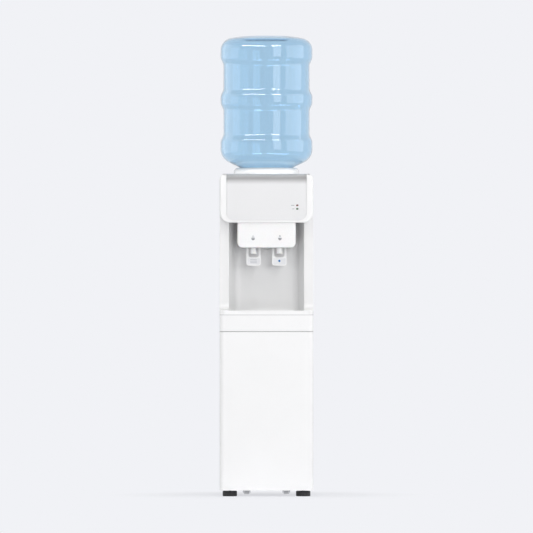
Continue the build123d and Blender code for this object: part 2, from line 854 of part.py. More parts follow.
# ---------------- Drip tray ----------------
def drip_tray():
    """Lift-out tray with a turned-down front lip."""
    half = tray_width / 2
    plan = rounded((-half, half), (tray_front_y, tray_rear_y), tray_corner_radius)
    tray = plan_prism(plan, tray_z, niche_z)
    lip = slab((-tray_lip_width / 2, tray_lip_width / 2), (front_y, tray_front_y + tray_corner_radius),
               (tray_lip_z, niche_z))
    keep = slab((-half, half), (front_y, tray_front_y + tray_corner_radius), (tray_lip_z, niche_z))
    wings = slab((-tray_lip_width / 2, tray_lip_width / 2), (front_y, tray_front_y), (tray_lip_z, niche_z))
    tray += lip & (keep + wings)
    under = slab((tray_wall - tray_lip_width / 2, tray_lip_width / 2 - tray_wall),
                 (front_y + tray_wall, tray_front_y), (tray_lip_z, niche_z - tray_wall))
    tray -= under
    pocket = offset(plan, -tray_wall)
    tray -= plan_prism(pocket, tray_z + tray_wall, grille_top_z - grille_thickness)
    seat = offset(plan, -tray_wall / 2)
    return tray - plan_prism(seat, grille_top_z - grille_thickness, niche_z)


def drip_grille():
    """Slotted plate that lies in the tray's rebate."""
    half = tray_width / 2 - tray_wall / 2 - grille_gap
    ys = (tray_front_y + tray_wall / 2 + grille_gap, tray_rear_y - tray_wall / 2 - grille_gap)
    plan = rounded((-half, half), ys, tray_corner_radius - tray_wall)
    grille = plan_prism(plan, grille_top_z - grille_thickness, grille_top_z)
    length = ys[1] - ys[0] - 2 * grille_margin
    slots = int((2 * half - 2 * grille_margin) / grille_pitch) + 1
    slot = Rot(0, 0, 90) * SlotOverall(length, grille_slot)
    for index in range(slots):
        x = (index - (slots - 1) / 2) * grille_pitch
        cut = Pos(x, (ys[0] + ys[1]) / 2) * slot
        grille -= plan_prism(cut, grille_top_z - grille_thickness, grille_top_z)
    return grille


# ---------------- Bottle and its seat ----------------
def shoulder_height(radius, inset):
    """Height of the bottle's shoulder cone at a radius, moved inwards by inset."""
    rise = (radius - neck_radius) * shoulder_slope
    return neck_root_z + rise + inset / cos(radians(shoulder_angle))


def bottle_form(inset, open_end):
    """Turned form of the bottle's outside, or of its inside with an inset."""
    ring = ring_radius - inset
    waist = waist_radius - inset
    neck = neck_radius - inset
    half = ring_flat / 2
    top = bottle_top_z - inset
    crown = top - (ring - rim_radius) * tan(radians(crown_angle))
    points = [(0, top - punt_depth), (punt_radius, top - punt_depth), (rim_radius, top), (ring, crown)]
    radii = [ring_blend, ring_blend, crown_radius - inset]
    for row in range(ring_count - 1, 0, -1):
        points += [(ring, ring_zs[row] - half), (waist, ring_zs[row] - half - ring_slope)]
        points += [(waist, ring_zs[row - 1] + half + ring_slope), (ring, ring_zs[row - 1] + half)]
        radii += [ring_blend] * 4
    points += [(ring, shoulder_height(ring, inset)), (neck, shoulder_height(neck, inset)), (neck, open_end)]
    radii += [bottle_shoulder_radius - inset, ring_blend + inset]
    edges = FilletPolyline(*points, radius=radii)
    edges += Polyline((neck, open_end), (0, open_end), points[0])
    return revolve(Plane.XZ * make_face(edges), axis=Axis.Z)


def bottle():
    """Thin-walled ribbed bottle, neck down."""
    return bottle_form(0, neck_end_z) - bottle_form(bottle_wall, neck_end_z - neck_length)


def bottle_cap():
    """Snap cap round the neck with an inner sleeve for the probe."""
    low = neck_end_z - cap_wall
    outer = cap_bore + cap_wall
    sleeve_outer = sleeve_bore + sleeve_wall
    return turned((sleeve_bore, low), (outer, low), (outer, neck_end_z + cap_skirt_length),
                  (cap_bore, neck_end_z + cap_skirt_length), (cap_bore, neck_end_z),
                  (sleeve_outer, neck_end_z), (sleeve_outer, neck_end_z + sleeve_length),
                  (sleeve_bore, neck_end_z + sleeve_length))


def bottle_collar():
    """Upstand ring whose inner cone seats the bottle's shoulder."""
    low_seat = shoulder_height(collar_bore, -seat_gap)
    top_seat = collar_bore + (collar_top_z - low_seat) / shoulder_slope
    inner_wall = collar_bore + collar_wall
    ring = turned((collar_bore, head_top_z), (collar_bore, low_seat), (top_seat, collar_top_z),
                  (collar_radius, collar_top_z), (collar_radius, head_top_z),
                  (collar_radius - collar_wall, head_top_z),
                  (collar_radius - collar_wall, collar_top_z - collar_wall - collar_edge_radius / 2),
                  (collar_radius - collar_edge_radius, collar_top_z - collar_wall),
                  (top_seat + collar_wall / 2, collar_top_z - collar_wall),
                  (inner_wall, low_seat - collar_wall / 2), (inner_wall, head_top_z))
    rims = ring.edges().filter_by(GeomType.CIRCLE)
    outer = rims.filter_by(lambda edge: abs(edge.radius - collar_radius) < collar_edge_slack)
    return fillet(outer.sort_by(Axis.Z)[-1], collar_edge_radius)


def bottle_funnel():
    """Dished funnel under the collar, with its outlet into the tank."""
    cone_z = head_top_z - funnel_cone_drop
    outlet_z = funnel_floor_z - outlet_length
    wall = funnel_wall
    cup = turned((outlet_radius - wall, outlet_z), (outlet_radius, outlet_z),
                 (outlet_radius, funnel_floor_z), (funnel_throat + wall, funnel_floor_z),
                 (funnel_throat + wall, cone_z), (funnel_mouth + wall, head_top_z),
                 (funnel_flange, head_top_z), (funnel_flange, head_top_z + wall),
                 (funnel_mouth, head_top_z + wall), (funnel_throat, cone_z + wall),
                 (funnel_throat, funnel_floor_z + wall), (outlet_radius - wall, funnel_floor_z + wall))
    y = -funnel_throat - wall
    z = funnel_floor_z + hose_radius + wall
    cup += along_y(spigot_radius, 0, z, y - 2 * barb_height, y + wall)
    return cup - along_y(spigot_bore, 0, z, y - 2 * barb_height, y + 2 * wall)


def bottle_probe():
    """Hollow spike that the bottle's cap drops over, on a perforated foot."""
    low = funnel_floor_z + funnel_wall
    foot = low + probe_base_thickness
    high = low + probe_height
    spike = turned((probe_bore, low), (probe_base_radius, low), (probe_base_radius, foot),
                   (probe_radius, foot), (probe_radius, high - probe_radius / 2),
                   (probe_radius / 2, high), (0, high), (0, high - probe_base_thickness),
                   (probe_bore, high - probe_radius))
    window_z = high - 2 * probe_radius
    spike -= along_x(probe_window_radius, 0, window_z, -probe_radius, probe_radius)
    spike -= along_y(probe_window_radius, 0, window_z, -probe_radius, probe_radius)
    ring = (probe_radius + probe_base_radius) / 2
    for hole in PolarLocations(ring, probe_hole_count):
        spike -= Pos(*hole.position) * upright(probe_window_radius, 0, 0, low, foot)
    return spike


# ---------------- Cold tank ----------------
def tank_form(inset):
    """Round-edged can about the tank's axis."""
    can = upright(tank_radius - inset, 0, tank_y, tank_z + inset, tank_top_z - inset)
    return fillet(can.edges().filter_by(GeomType.CIRCLE), tank_edge_radius - inset)


def cold_tank():
    """Steel can with its cold outlet, drain stub and top hole."""
    x = tap_xs[1]
    root = tank_y - sqrt(tank_radius ** 2 - x ** 2)
    end = root - spigot_length
    tank = tank_form(0)
    tank += along_y(spigot_radius, x, spigot_z, end, root + spigot_radius)
    tank += upright(spigot_radius, 0, tank_y, insulation_z - barb_height, tank_z + spigot_radius)
    tank -= tank_form(tank_wall)
    tank -= along_y(spigot_bore, x, spigot_z, end, root + 2 * spigot_radius)
    tank -= upright(spigot_bore, 0, tank_y, insulation_z - barb_height, tank_z + 2 * spigot_radius)
    return tank - upright(outlet_radius + hose_clearance, 0, 0, tank_top_z - tank_edge_radius, tank_top_z)


def tank_baffle():
    """Slotted disc that keeps warmer water above the cold water."""
    top = tank_top_z - baffle_drop
    disc = upright(tank_radius - tank_wall - baffle_gap, 0, tank_y, top - baffle_thickness, top)
    for hole in PolarLocations(baffle_hole_ring, baffle_hole_count):
        disc -= upright(spigot_radius, hole.position.X, tank_y + hole.position.Y, top - baffle_thickness, top)
    for side in (-1, 1):
        foot_x = side * (tank_radius - tank_wall - baffle_leg_inset)
        disc += upright(spigot_bore, foot_x, tank_y, tank_z + tank_edge_radius, top - baffle_thickness)
    return disc


def evaporator():
    """Cooled sleeve clasped round the tank."""
    zs = (tank_z + tank_edge_radius, tank_top_z - evaporator_margin)
    sleeve = upright(evaporator_radius, 0, tank_y, *zs)
    return sleeve - upright(tank_radius, 0, tank_y, *zs)


def insulation(side):
    """Foam half round the tank; side is -1 for the front, 1 for the rear."""
    foam = upright(insulation_radius, 0, tank_y, insulation_z, insulation_top_z)
    foam -= upright(insulation_bore, 0, tank_y, tank_z, tank_top_z)
    foam -= upright(outlet_radius + hose_clearance, 0, 0, tank_top_z, insulation_top_z)
    foam -= upright(spigot_radius + hose_clearance, 0, tank_y, insulation_z, tank_z)
    foam -= along_y(spigot_radius + hose_clearance, tap_xs[1], spigot_z, niche_back_y, tank_y)
    foam -= along_x(pipe_radius + hose_clearance, tank_y, suction_z, 0, insulation_radius)
    foam -= along_x(capillary_radius + hose_clearance, tank_y, capillary_z, 0, insulation_radius)
    keep = insulation_radius + insulation_wall
    ys = sorted((tank_y, tank_y + side * keep))
    return foam & slab((-keep, keep), ys, (insulation_z, insulation_top_z))


def tank_shelf():
    """Folded steel shelf across the cabinet that carries the tank."""
    half = half_width - sheet
    ys = (tank_y - insulation_radius - insulation_gap, tank_y + insulation_radius + shelf_overhang)
    top = insulation_z
    shelf = slab((-half, half), ys, (top - sheet, top))
    for x in (-half, half - sheet):
        shelf += slab((x, x + sheet), ys, (top - shelf_flange, top))
    shelf -= upright(pipe_hole, 0, tank_y, top - sheet, top)
    for x in (-condenser_half_width, condenser_half_width):
        shelf -= upright(pipe_hole, x, tank_y, top - sheet, top)
    return shelf - upright(pipe_hole / 2, capillary_x, condenser_inner_y, top - sheet, top)


def cold_hose():
    """Hose from the tank's front outlet to the cold tap."""
    x = tap_xs[1]
    root = tank_y - sqrt(tank_radius ** 2 - x ** 2)
    start = root - spigot_length + barb_height
    points = [(x, start, spigot_z), (x, barb_y, spigot_z), (x, barb_y, head_z + moulded_wall)]
    return tube(points, [min(hose_bend, (spigot_z - head_z) / 2)], hose_radius, hose_bore)


def ambient_hose():
    """Hose from the funnel's spigot to the ambient tap."""
    x = tap_xs[0]
    z = funnel_floor_z + hose_radius + funnel_wall
    start = -funnel_throat - funnel_wall - barb_height
    turn_y = start - 2 * barb_height - hose_bend
    points = [(0, start, z), (0, turn_y, z), (x, barb_y, z), (x, barb_y, head_z + moulded_wall)]
    return tube(points, [hose_bend, hose_bend], hose_radius, hose_bore)


def thermostat():
    """Control box standing on the shelf beside the tank."""
    x = half_width - sheet - thermostat_width
    y = tank_y - insulation_radius
    box = slab((-x - thermostat_width, -x), (y, y + thermostat_depth),
               (insulation_z, insulation_z + thermostat_height))
    box = fillet(box.edges().filter_by(Axis.Z), sheet * 2)
    z = insulation_z + thermostat_height
    boss_y = y + thermostat_depth / 2
    return box + upright(thermostat_width / 4, -x - thermostat_width / 2, boss_y, z, z + 2 * sheet)


# ---------------- Cooling circuit ----------------
def compressor():
    """Hermetic pot with a seam flange, a mounting plate and two stubs."""
    half_x = compressor_width / 2
    half_y = compressor_length / 2
    plan = rounded((-half_x, half_x), (tank_y - half_y, tank_y + half_y), compressor_corner)
    pot = plan_prism(plan, compressor_z, compressor_top_z)
    pot = fillet(pot.faces().sort_by(Axis.Z)[-1].edges(), compressor_dome)
    seam_z = compressor_z + compressor_height / 2
    pot += plan_prism(offset(plan, compressor_seam), seam_z, seam_z + compressor_seam)
    half_plate = compressor_plate_width / 2
    plate_y = compressor_plate_length / 2
    plate = rounded((-half_plate, half_plate), (tank_y - plate_y, tank_y + plate_y), mount_radius)
    pot += plan_prism(plate, compressor_z - compressor_plate_thickness, compressor_z)
    for x in (-stub_spacing / 2, stub_spacing / 2):
        pot += upright(2 * pipe_radius, x, tank_y, compressor_top_z - compressor_dome, stub_top_z)
    for x, y in mount_centres():
        pot -= upright(mount_bolt_radius, x, y, compressor_z - compressor_plate_thickness, compressor_z)
    return pot


def mount_centres():
    """Centres of the compressor's four rubber mounts."""
    x = compressor_plate_width / 2 - mount_radius
    y = compressor_plate_length / 2 - mount_radius
    return [(sx * x, tank_y + sy * y) for sx in (-1, 1) for sy in (-1, 1)]


def compressor_mounts():
    """Four waisted rubber mounts under the compressor's plate."""
    low = base_floor_z
    high = low + mount_height
    mount = turned((mount_bolt_radius, low), (mount_radius, low), (mount_radius, low + mount_height / 4),
                   (mount_waist, low + mount_height / 2), (mount_radius, high - mount_height / 4),
                   (mount_radius, high), (mount_bolt_radius, high))
    return group([Pos(x, y, 0) * mount for x, y in mount_centres()])


def filter_drier():
    """Copper drier with drawn-in ends, below the condenser's lower end."""
    low = drier_top_z - drier_length
    pod = turned((0, low), (pipe_radius, low), (pipe_radius, low + drier_neck / 2),
                 (drier_radius, low + drier_neck), (drier_radius, drier_top_z - drier_neck),
                 (pipe_radius, drier_top_z - drier_neck / 2), (pipe_radius, drier_top_z), (0, drier_top_z))
    return Pos(condenser_half_width, condenser_inner_y, 0) * pod


def condenser_tube():
    """Serpentine tube from the drier out through the back and up to the hot end."""
    first_bend = 3 * pipe_radius
    x = condenser_half_width
    points = [(x, condenser_inner_y, drier_top_z), (x, condenser_inner_y, condenser_base),
              (x, condenser_y, condenser_base)]
    radii = [first_bend, first_bend]
    side = -1
    for run in range(condenser_runs):
        z = condenser_base + run * condenser_pitch
        points.append((side * x, condenser_y, z))
        radii.append(condenser_pitch * condenser_bend_share)
        if run < condenser_runs - 1:
            points.append((side * x, condenser_y, z + condenser_pitch))
            radii.append(condenser_pitch * condenser_bend_share)
        side = -side
    points.append((points[-1][0], condenser_inner_y, condenser_top))
    radii[-1] = first_bend
    return tube(points, radii, pipe_radius)


def condenser():
    """Serpentine tube with upright wires welded across its outer side."""
    low = condenser_base - wire_overhang
    high = condenser_top + wire_overhang
    reach = condenser_half_width - condenser_pitch * condenser_bend_share
    near = condenser_y + pipe_radius
    wires = []
    for index in range(condenser_wires):
        x = -reach + index * 2 * reach / (condenser_wires - 1)
        wires.append(slab((x - wire_width / 2, x + wire_width / 2), (near, near + wire_width), (low, high)))
    return group([condenser_tube()] + wires)


def condenser_brackets():
    """Four straps that hold the condenser off the back."""
    straps = []
    for x in (-condenser_half_width / 2, condenser_half_width / 2):
        for row in (1, condenser_runs - 2):
            z = condenser_base + row * condenser_pitch
            foot = slab((x - bracket_width / 2, x + bracket_width / 2), (rear_y, rear_y + bracket_thickness),
                        (z - bracket_width, z + bracket_width / 2))
            arm = slab((x - bracket_width / 2, x + bracket_width / 2), (rear_y, condenser_y),
                       (z - pipe_radius - bracket_thickness, z - pipe_radius))
            straps.append(foot + arm)
    return group(straps)


def discharge_pipe():
    """Pipe from the compressor up to the condenser's hot end."""
    x = -condenser_half_width
    rise = stub_top_z + 2 * hose_bend
    points = [(-stub_spacing / 2, tank_y, stub_top_z), (-stub_spacing / 2, tank_y, rise),
              (x, tank_y, rise), (x, tank_y, condenser_top), (x, condenser_inner_y, condenser_top)]
    return tube(points, [hose_bend] * 3, pipe_radius)


def suction_pipe():
    """Pipe from the evaporator back down to the compressor."""
    x = condenser_half_width
    rise = stub_top_z + 2 * hose_bend
    points = [(stub_spacing / 2, tank_y, stub_top_z), (stub_spacing / 2, tank_y, rise),
              (x, tank_y, rise), (x, tank_y, suction_z), (evaporator_radius, tank_y, suction_z)]
    return tube(points, [hose_bend] * 3, pipe_radius)


def capillary_tube():
    """Thin tube from the drier up to the evaporator."""
    y = condenser_inner_y
    low = drier_top_z - drier_length
    points = [(condenser_half_width, y, low), (condenser_half_width, y, low - hose_bend),
              (capillary_x, y, low - hose_bend), (capillary_x, y, capillary_z),
              (capillary_x, tank_y, capillary_z), (evaporator_radius, tank_y, capillary_z)]
    return tube(points, [hose_bend / 2] * 4, capillary_radius)


# ---------------- Rear fittings ----------------
def cord_gland():
    """Bush in the back whose bore takes the supply cord."""
    flange = along_y(gland_flange, gland_x, gland_height, rear_y, rear_y + gland_flange_thickness)
    inner_end = rear_y + gland_flange_thickness - gland_length
    body = along_y(gland_radius, gland_x, gland_height, inner_end, rear_y)
    bush = flange + body
    return bush - along_y(gland_bore, gland_x, gland_height, rear_y - gland_length,
                          rear_y + gland_flange_thickness)


def switch_frame():
    """Rim and box of the cooling switch."""
    half_x = switch_width / 2
    half_z = switch_height / 2
    frame = slab((switch_x - half_x, switch_x + half_x), (rear_y - switch_depth, rear_y),
                 (gland_height - half_z, gland_height + half_z))
    frame += slab((switch_x - half_x - switch_rim, switch_x + half_x + switch_rim),
                  (rear_y, rear_y + switch_wall),
                  (gland_height - half_z - switch_rim, gland_height + half_z + switch_rim))
    frame -= slab((switch_x - half_x + switch_wall, switch_x + half_x - switch_wall),
                  (rear_y - switch_depth + switch_wall, rear_y + switch_wall),
                  (gland_height - half_z + switch_wall, gland_height + half_z - switch_wall))
    return frame - along_x(rocker_pin_radius + rocker_pin_gap, rear_y - rocker_pivot_depth, gland_height,
                           switch_x - half_x, switch_x + half_x)


def switch_rocker():
    """Rocker with a shallow V face, on two pins that turn in the switch's frame."""
    half_x = switch_width / 2 - switch_wall - rocker_gap
    half_z = switch_height / 2 - switch_wall - 3 * rocker_gap
    face_y = rear_y + switch_wall
    outline = polygon((face_y - 2 * switch_wall, gland_height - half_z), (face_y, gland_height - half_z),
                      (face_y - switch_wall / 2, gland_height), (face_y, gland_height + half_z),
                      (face_y - 2 * switch_wall, gland_height + half_z),
                      (rear_y - switch_depth / 2, gland_height))
    reach = half_x + rocker_pin_length
    pins = along_x(rocker_pin_radius, rear_y - rocker_pivot_depth, gland_height,
                   switch_x - reach, switch_x + reach)
    return side_prism(outline, switch_x - half_x, switch_x + half_x) + pins


def drain_pipe():
    """Drain hose from under the tank, with its outlet through the back."""
    bend = 2 * hose_bend
    points = [(0, tank_y, insulation_z - barb_height), (0, tank_y, drain_height),
              (0, rear_y - drain_flange_thickness, drain_height)]
    pipe = tube(points, [bend], drain_radius, spigot_radius + hose_clearance)
    end = rear_y + drain_flange_thickness + drain_proud
    fitting = along_y(drain_flange, 0, drain_height, rear_y, rear_y + drain_flange_thickness)
    fitting += along_y(drain_radius, 0, drain_height, rear_y - drain_flange_thickness, end)
    fitting -= along_y(drain_bore, 0, drain_height, rear_y - drain_flange_thickness, end)
    return pipe + fitting


def drain_cap():
    """Cap over the drain's outlet."""
    low = rear_y + drain_flange_thickness
    end = low + drain_proud
    bore = drain_radius + drain_cap_gap
    outer_end = end + drain_cap_gap + drain_cap_wall
    cap = along_y(bore + drain_cap_wall, 0, drain_height, low + drain_cap_gap, outer_end)
    return cap - along_y(bore, 0, drain_height, low + drain_cap_gap, end + drain_cap_gap)


def rear_screws():
    """Pan-head screws down both edges of the back."""
    x = half_width - flange_width / 2
    low = base_z + base_height + screw_end_margin
    pitch = (lid_z - screw_end_margin - low) / (screw_rows - 1)
    head = along_y(screw_head_radius, 0, low, rear_y, rear_y + screw_head_height)
    head = fillet(head.edges().sort_by(Axis.Y)[-1], screw_head_height / 2)
    return group([Pos(side * x, 0, row * pitch) * head for side in (-1, 1) for row in range(screw_rows)])


# ---------------- Feet and rollers ----------------
def levelling_foot(x):
    """Round pad on its stem."""
    pad = upright(foot_radius, x, foot_y, 0, foot_pad_height)
    pad = fillet(pad.edges().filter_by(GeomType.CIRCLE), foot_edge_radius)
    return pad + upright(stem_radius, x, foot_y, foot_pad_height, foot_pad_height + stem_length)


def roller(x):
    """Plain wheel with a groove beside each rim."""
    half = roller_width / 2
    bore = roller_axle_radius + roller_bore_gap
    step = roller_radius - roller_plate
    wheel = turned((bore, -half), (step, -half), (roller_radius, roller_plate - half),
                   (roller_radius, half - roller_plate), (step, half), (bore, half))
    return Pos(x, roller_y, roller_radius) * (Rot(0, 90, 0) * wheel)


def roller_brackets():
    """Two cheeks beside each roller, hung from a plate on the base."""
    inner = roller_width / 2 + roller_side_gap
    outer = bracket_half_width
    half = roller_plate_depth / 2
    top = bracket_top_z
    brackets = []
    for x in roller_xs:
        forks = []
        for low, high in ((-outer, -inner), (inner, outer)):
            cheek = slab((x + low, x + high), (roller_y - half, roller_y + half), (roller_radius, top))
            cheek += along_x(half, roller_y, roller_radius, x + low, x + high)
            cheek -= along_x(roller_axle_radius, roller_y, roller_radius, x + low, x + high)
            forks.append(cheek)
        bridge_low = 2 * roller_radius + roller_plate
        bridge = slab((x - outer, x + outer), (roller_y - half, roller_y + half), (bridge_low, top))
        brackets.append(forks[0] + forks[1] + bridge)
    return group(brackets)


def roller_axles():
    """One axle through each roller and its cheeks."""
    half = bracket_half_width
    axles = [along_x(roller_axle_radius, roller_y, roller_radius, x - half, x + half) for x in roller_xs]
    return group(axles)


# ---------------- Nodes ----------------
def nodes():
    """Every piece under its node name."""
    left, right = tap_xs
    body = tap_body()
    rod = plunger()
    coil = return_spring()
    blade = paddle()
    return {
        "base_pan": base_pan(),
        "side_panel_left": side_panel(-1),
        "side_panel_right": side_panel(1),
        "rear_panel": rear_panel(),
        "lower_front_panel": lower_front_panel(),
        "front_surround": front_surround(),
        "tray_apron": tray_apron(),
        "lid": lid(),
        "head_bezel": head_bezel(),
        "fascia_panel": fascia_panel(),
        "power_lamp": lamp(0),
        "cooling_lamp": lamp(1),
        "lamp_board": lamp_board(),
        "nozzle_housing": nozzle_housing(),
        "ambient_tap_body": Pos(left, 0, 0) * body,
        "cold_tap_body": Pos(right, 0, 0) * body,
        "ambient_plunger": Pos(left, 0, 0) * rod,
        "cold_plunger": Pos(right, 0, 0) * rod,
        "ambient_spring": Pos(left, 0, 0) * coil,
        "cold_spring": Pos(right, 0, 0) * coil,
        "ambient_paddle": Pos(left, 0, 0) * blade,
        "cold_paddle": Pos(right, 0, 0) * blade,
        "paddle_pins": paddle_pins(),
        "cold_dot": cold_dot(),
        "drip_tray": drip_tray(),
        "drip_grille": drip_grille(),
        "bottle": bottle(),
        "bottle_cap": bottle_cap(),
        "bottle_collar": bottle_collar(),
        "bottle_funnel": bottle_funnel(),
        "bottle_probe": bottle_probe(),
        "cold_tank": cold_tank(),
        "tank_baffle": tank_baffle(),
        "evaporator": evaporator(),
        "insulation_front": insulation(-1),
        "insulation_rear": insulation(1),
        "tank_shelf": tank_shelf(),
        "cold_hose": cold_hose(),
        "ambient_hose": ambient_hose(),
        "thermostat": thermostat(),
        "compressor": compressor(),
        "compressor_mounts": compressor_mounts(),
        "filter_drier": filter_drier(),
        "capillary_tube": capillary_tube(),
        "discharge_pipe": discharge_pipe(),
        "suction_pipe": suction_pipe(),
        "condenser": condenser(),
        "condenser_brackets": condenser_brackets(),
        "cord_gland": cord_gland(),
        "switch_frame": switch_frame(),
        "switch_rocker": switch_rocker(),
        "drain_pipe": drain_pipe(),
        "drain_cap": drain_cap(),
        "rear_screws": rear_screws(),
        "roller_brackets": roller_brackets(),
        "roller_axles": roller_axles(),
        "left_roller": roller(roller_xs[0]),
        "right_roller": roller(roller_xs[1]),
        "left_foot": levelling_foot(foot_xs[0]),
        "right_foot": levelling_foot(foot_xs[1]),
    }


os.makedirs("parts", exist_ok=True)
for name, shape in nodes().items():
    export_step(shape, f"parts/{name}.step")
    print(name, round(shape.volume))
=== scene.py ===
"""Finishes, clear bottle, marks, studio and camera for a top-load bottled water cooler."""

import logging
import math
from dataclasses import dataclass
from enum import Enum
from typing import Any, ClassVar, Sequence

import bmesh
import bpy
from mathutils import Matrix, Vector


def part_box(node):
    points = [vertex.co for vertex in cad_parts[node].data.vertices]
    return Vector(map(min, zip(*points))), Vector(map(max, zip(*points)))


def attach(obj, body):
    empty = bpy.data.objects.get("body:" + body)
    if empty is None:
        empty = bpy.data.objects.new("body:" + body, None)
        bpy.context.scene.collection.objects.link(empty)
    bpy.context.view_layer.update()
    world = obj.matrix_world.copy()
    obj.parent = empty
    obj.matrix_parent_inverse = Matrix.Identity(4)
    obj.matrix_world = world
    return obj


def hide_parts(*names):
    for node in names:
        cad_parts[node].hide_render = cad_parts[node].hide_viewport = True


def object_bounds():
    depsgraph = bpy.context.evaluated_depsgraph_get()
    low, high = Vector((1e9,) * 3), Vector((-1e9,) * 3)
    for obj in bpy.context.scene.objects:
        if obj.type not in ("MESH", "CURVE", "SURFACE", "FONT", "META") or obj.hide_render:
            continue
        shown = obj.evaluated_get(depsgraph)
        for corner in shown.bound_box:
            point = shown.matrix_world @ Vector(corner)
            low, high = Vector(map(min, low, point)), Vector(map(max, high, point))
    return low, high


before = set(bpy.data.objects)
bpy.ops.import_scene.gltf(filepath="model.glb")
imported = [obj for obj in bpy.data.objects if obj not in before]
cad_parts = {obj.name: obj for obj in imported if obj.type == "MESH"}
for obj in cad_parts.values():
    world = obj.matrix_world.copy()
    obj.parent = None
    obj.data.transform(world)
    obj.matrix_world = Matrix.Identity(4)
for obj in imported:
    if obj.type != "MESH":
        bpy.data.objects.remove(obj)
CAD_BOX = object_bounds()

log = logging.getLogger("cooler")

Colour = tuple[float, float, float, float]
Point2 = tuple[float, float]
Point3 = tuple[float, float, float]
Socket = bpy.types.NodeSocket
Outputs = bpy.types.NodeOutputs


# ---------------- Colours and node graphs ----------------
def tone(red: float, green: float, blue: float) -> Colour:
    """Linear colour of a screen colour.

    Args:
        red: red, 0 to 255.
        green: green, 0 to 255.
        blue: blue, 0 to 255.

    Returns:
        The linear colour with full alpha.
    """
    def linear(value: float) -> float:
        """Linear light of one screen channel."""
        share = value / 255
        return share / 12.92 if share <= 0.04045 else ((share + 0.055) / 1.055) ** 2.4

    return (linear(red), linear(green), linear(blue), 1.0)


def shifted(colour: Colour, factor: float, lift: float = 0.0) -> Colour:
    """Darker or paler form of a colour.

    Args:
        colour: the linear colour.
        factor: what each channel is multiplied by.
        lift: what is then added to it.

    Returns:
        The new colour, with no channel over 1.
    """
    return tuple(min(1.0, channel * factor + lift) for channel in colour[:3]) + (1.0,)


class Graph:
    """Short ways to add and join the nodes of one tree."""

    def __init__(self, tree: bpy.types.NodeTree) -> None:
        """Keeps the tree that the nodes go into."""
        self.tree = tree

    @classmethod
    def of(cls, owner: bpy.types.Material | bpy.types.World) -> "Graph":
        """Graph of a material or world, with its first nodes cleared away.

        Args:
            owner: the material or world.

        Returns:
            The graph.
        """
        owner.use_nodes = True
        owner.node_tree.nodes.clear()
        return cls(owner.node_tree)

    def add(self, kind: str, inputs: dict[Any, Any] | None = None,
            **settings: Any) -> bpy.types.Node:
        """Adds a node.

        Args:
            kind: the node's type name.
            inputs: a value or a socket to join for each input's name or number.
            settings: properties of the node.

        Returns:
            The new node.
        """
        node = self.tree.nodes.new(kind)
        for name, value in settings.items():
            setattr(node, name, value)
        for name, value in (inputs or {}).items():
            if isinstance(value, Socket):
                self.tree.links.new(value, node.inputs[name])
            else:
                node.inputs[name].default_value = value
        return node

    def group(self, effect: "type[Effect]", **values: float) -> Outputs:
        """Adds a shared effect with its own values and gives its outputs."""
        return self.add("ShaderNodeGroup", values, node_tree=effect.group()).outputs

    def surface(self, inputs: dict[str, Any]) -> Socket:
        """Adds a Principled BSDF and gives its shader."""
        return self.add("ShaderNodeBsdfPrincipled", inputs).outputs[0]

    def math(self, operation: str, first: Any, second: Any = 0.0) -> Socket:
        """Result of an operation on two numbers."""
        return self.add("ShaderNodeMath", {0: first, 1: second}, operation=operation).outputs[0]

    def product(self, first: Any, *others: Any) -> Socket:
        """Product of two or more numbers.

        Args:
            first: the first number.
            others: the numbers that it is multiplied by.

        Returns:
            The product.
        """
        for other in others:
            first = self.math("MULTIPLY", first, other)
        return first

    def away(self, value: Any, centre: float) -> Socket:
        """Distance of a value from a centre."""
        return self.math("ABSOLUTE", self.math("SUBTRACT", value, centre))

    def mix(self, share: Any, first: Any, second: Any) -> Socket:
        """Colour between two colours."""
        inputs = {0: share, 6: first, 7: second}
        return self.add("ShaderNodeMix", inputs, data_type="RGBA").outputs[2]

    def remap(self, value: Any, low: float, high: float, to_low: float = 0.0,
              to_high: float = 1.0) -> Socket:
        """Moves a value smoothly from one range to another.

        Args:
            value: the value.
            low: start of its range.
            high: end of its range.
            to_low: result at the start.
            to_high: result at the end.

        Returns:
            The result.
        """
        inputs = {"Value": value, "From Min": low, "From Max": high, "To Min": to_low,
                  "To Max": to_high}
        return self.add("ShaderNodeMapRange", inputs, interpolation_type="SMOOTHSTEP").outputs[0]

    def vary(self, noise: Socket, low: float, high: float) -> Socket:
        """Number between two limits that follows a noise, which mostly keeps to 0.3 to 0.7."""
        return self.remap(noise, 0.3, 0.7, low, high)

    def place(self) -> Socket:
        """Object coordinates."""
        return self.add("ShaderNodeTexCoord").outputs["Object"]

    def axis(self, letter: str, vector: Socket | None = None) -> Socket:
        """One axis of a vector, or else of the object coordinates."""
        source = self.place() if vector is None else vector
        return self.add("ShaderNodeSeparateXYZ", {0: source}).outputs[letter]

    def noise(self, scale: Any, detail: float, roughness: float = 0.5,
              stretch: Point3 | None = None) -> Socket:
        """Noise on object coordinates.

        Args:
            scale: frequency per metre.
            detail: number of finer layers.
            roughness: weight of the finer layers.
            stretch: a further frequency along each axis.

        Returns:
            The noise.
        """
        place = self.place()
        if stretch:
            place = self.add("ShaderNodeMapping", {"Vector": place, "Scale": stretch}).outputs[0]
        inputs = {"Vector": place, "Scale": scale, "Detail": detail, "Roughness": roughness}
        return self.add("ShaderNodeTexNoise", inputs).outputs[0]

    def bump(self, height: Socket, distance: Any, strength: float = 1.0) -> Socket:
        """Normal of a surface raised by a height."""
        inputs = {"Height": height, "Strength": strength, "Distance": distance}
        return self.add("ShaderNodeBump", inputs).outputs[0]


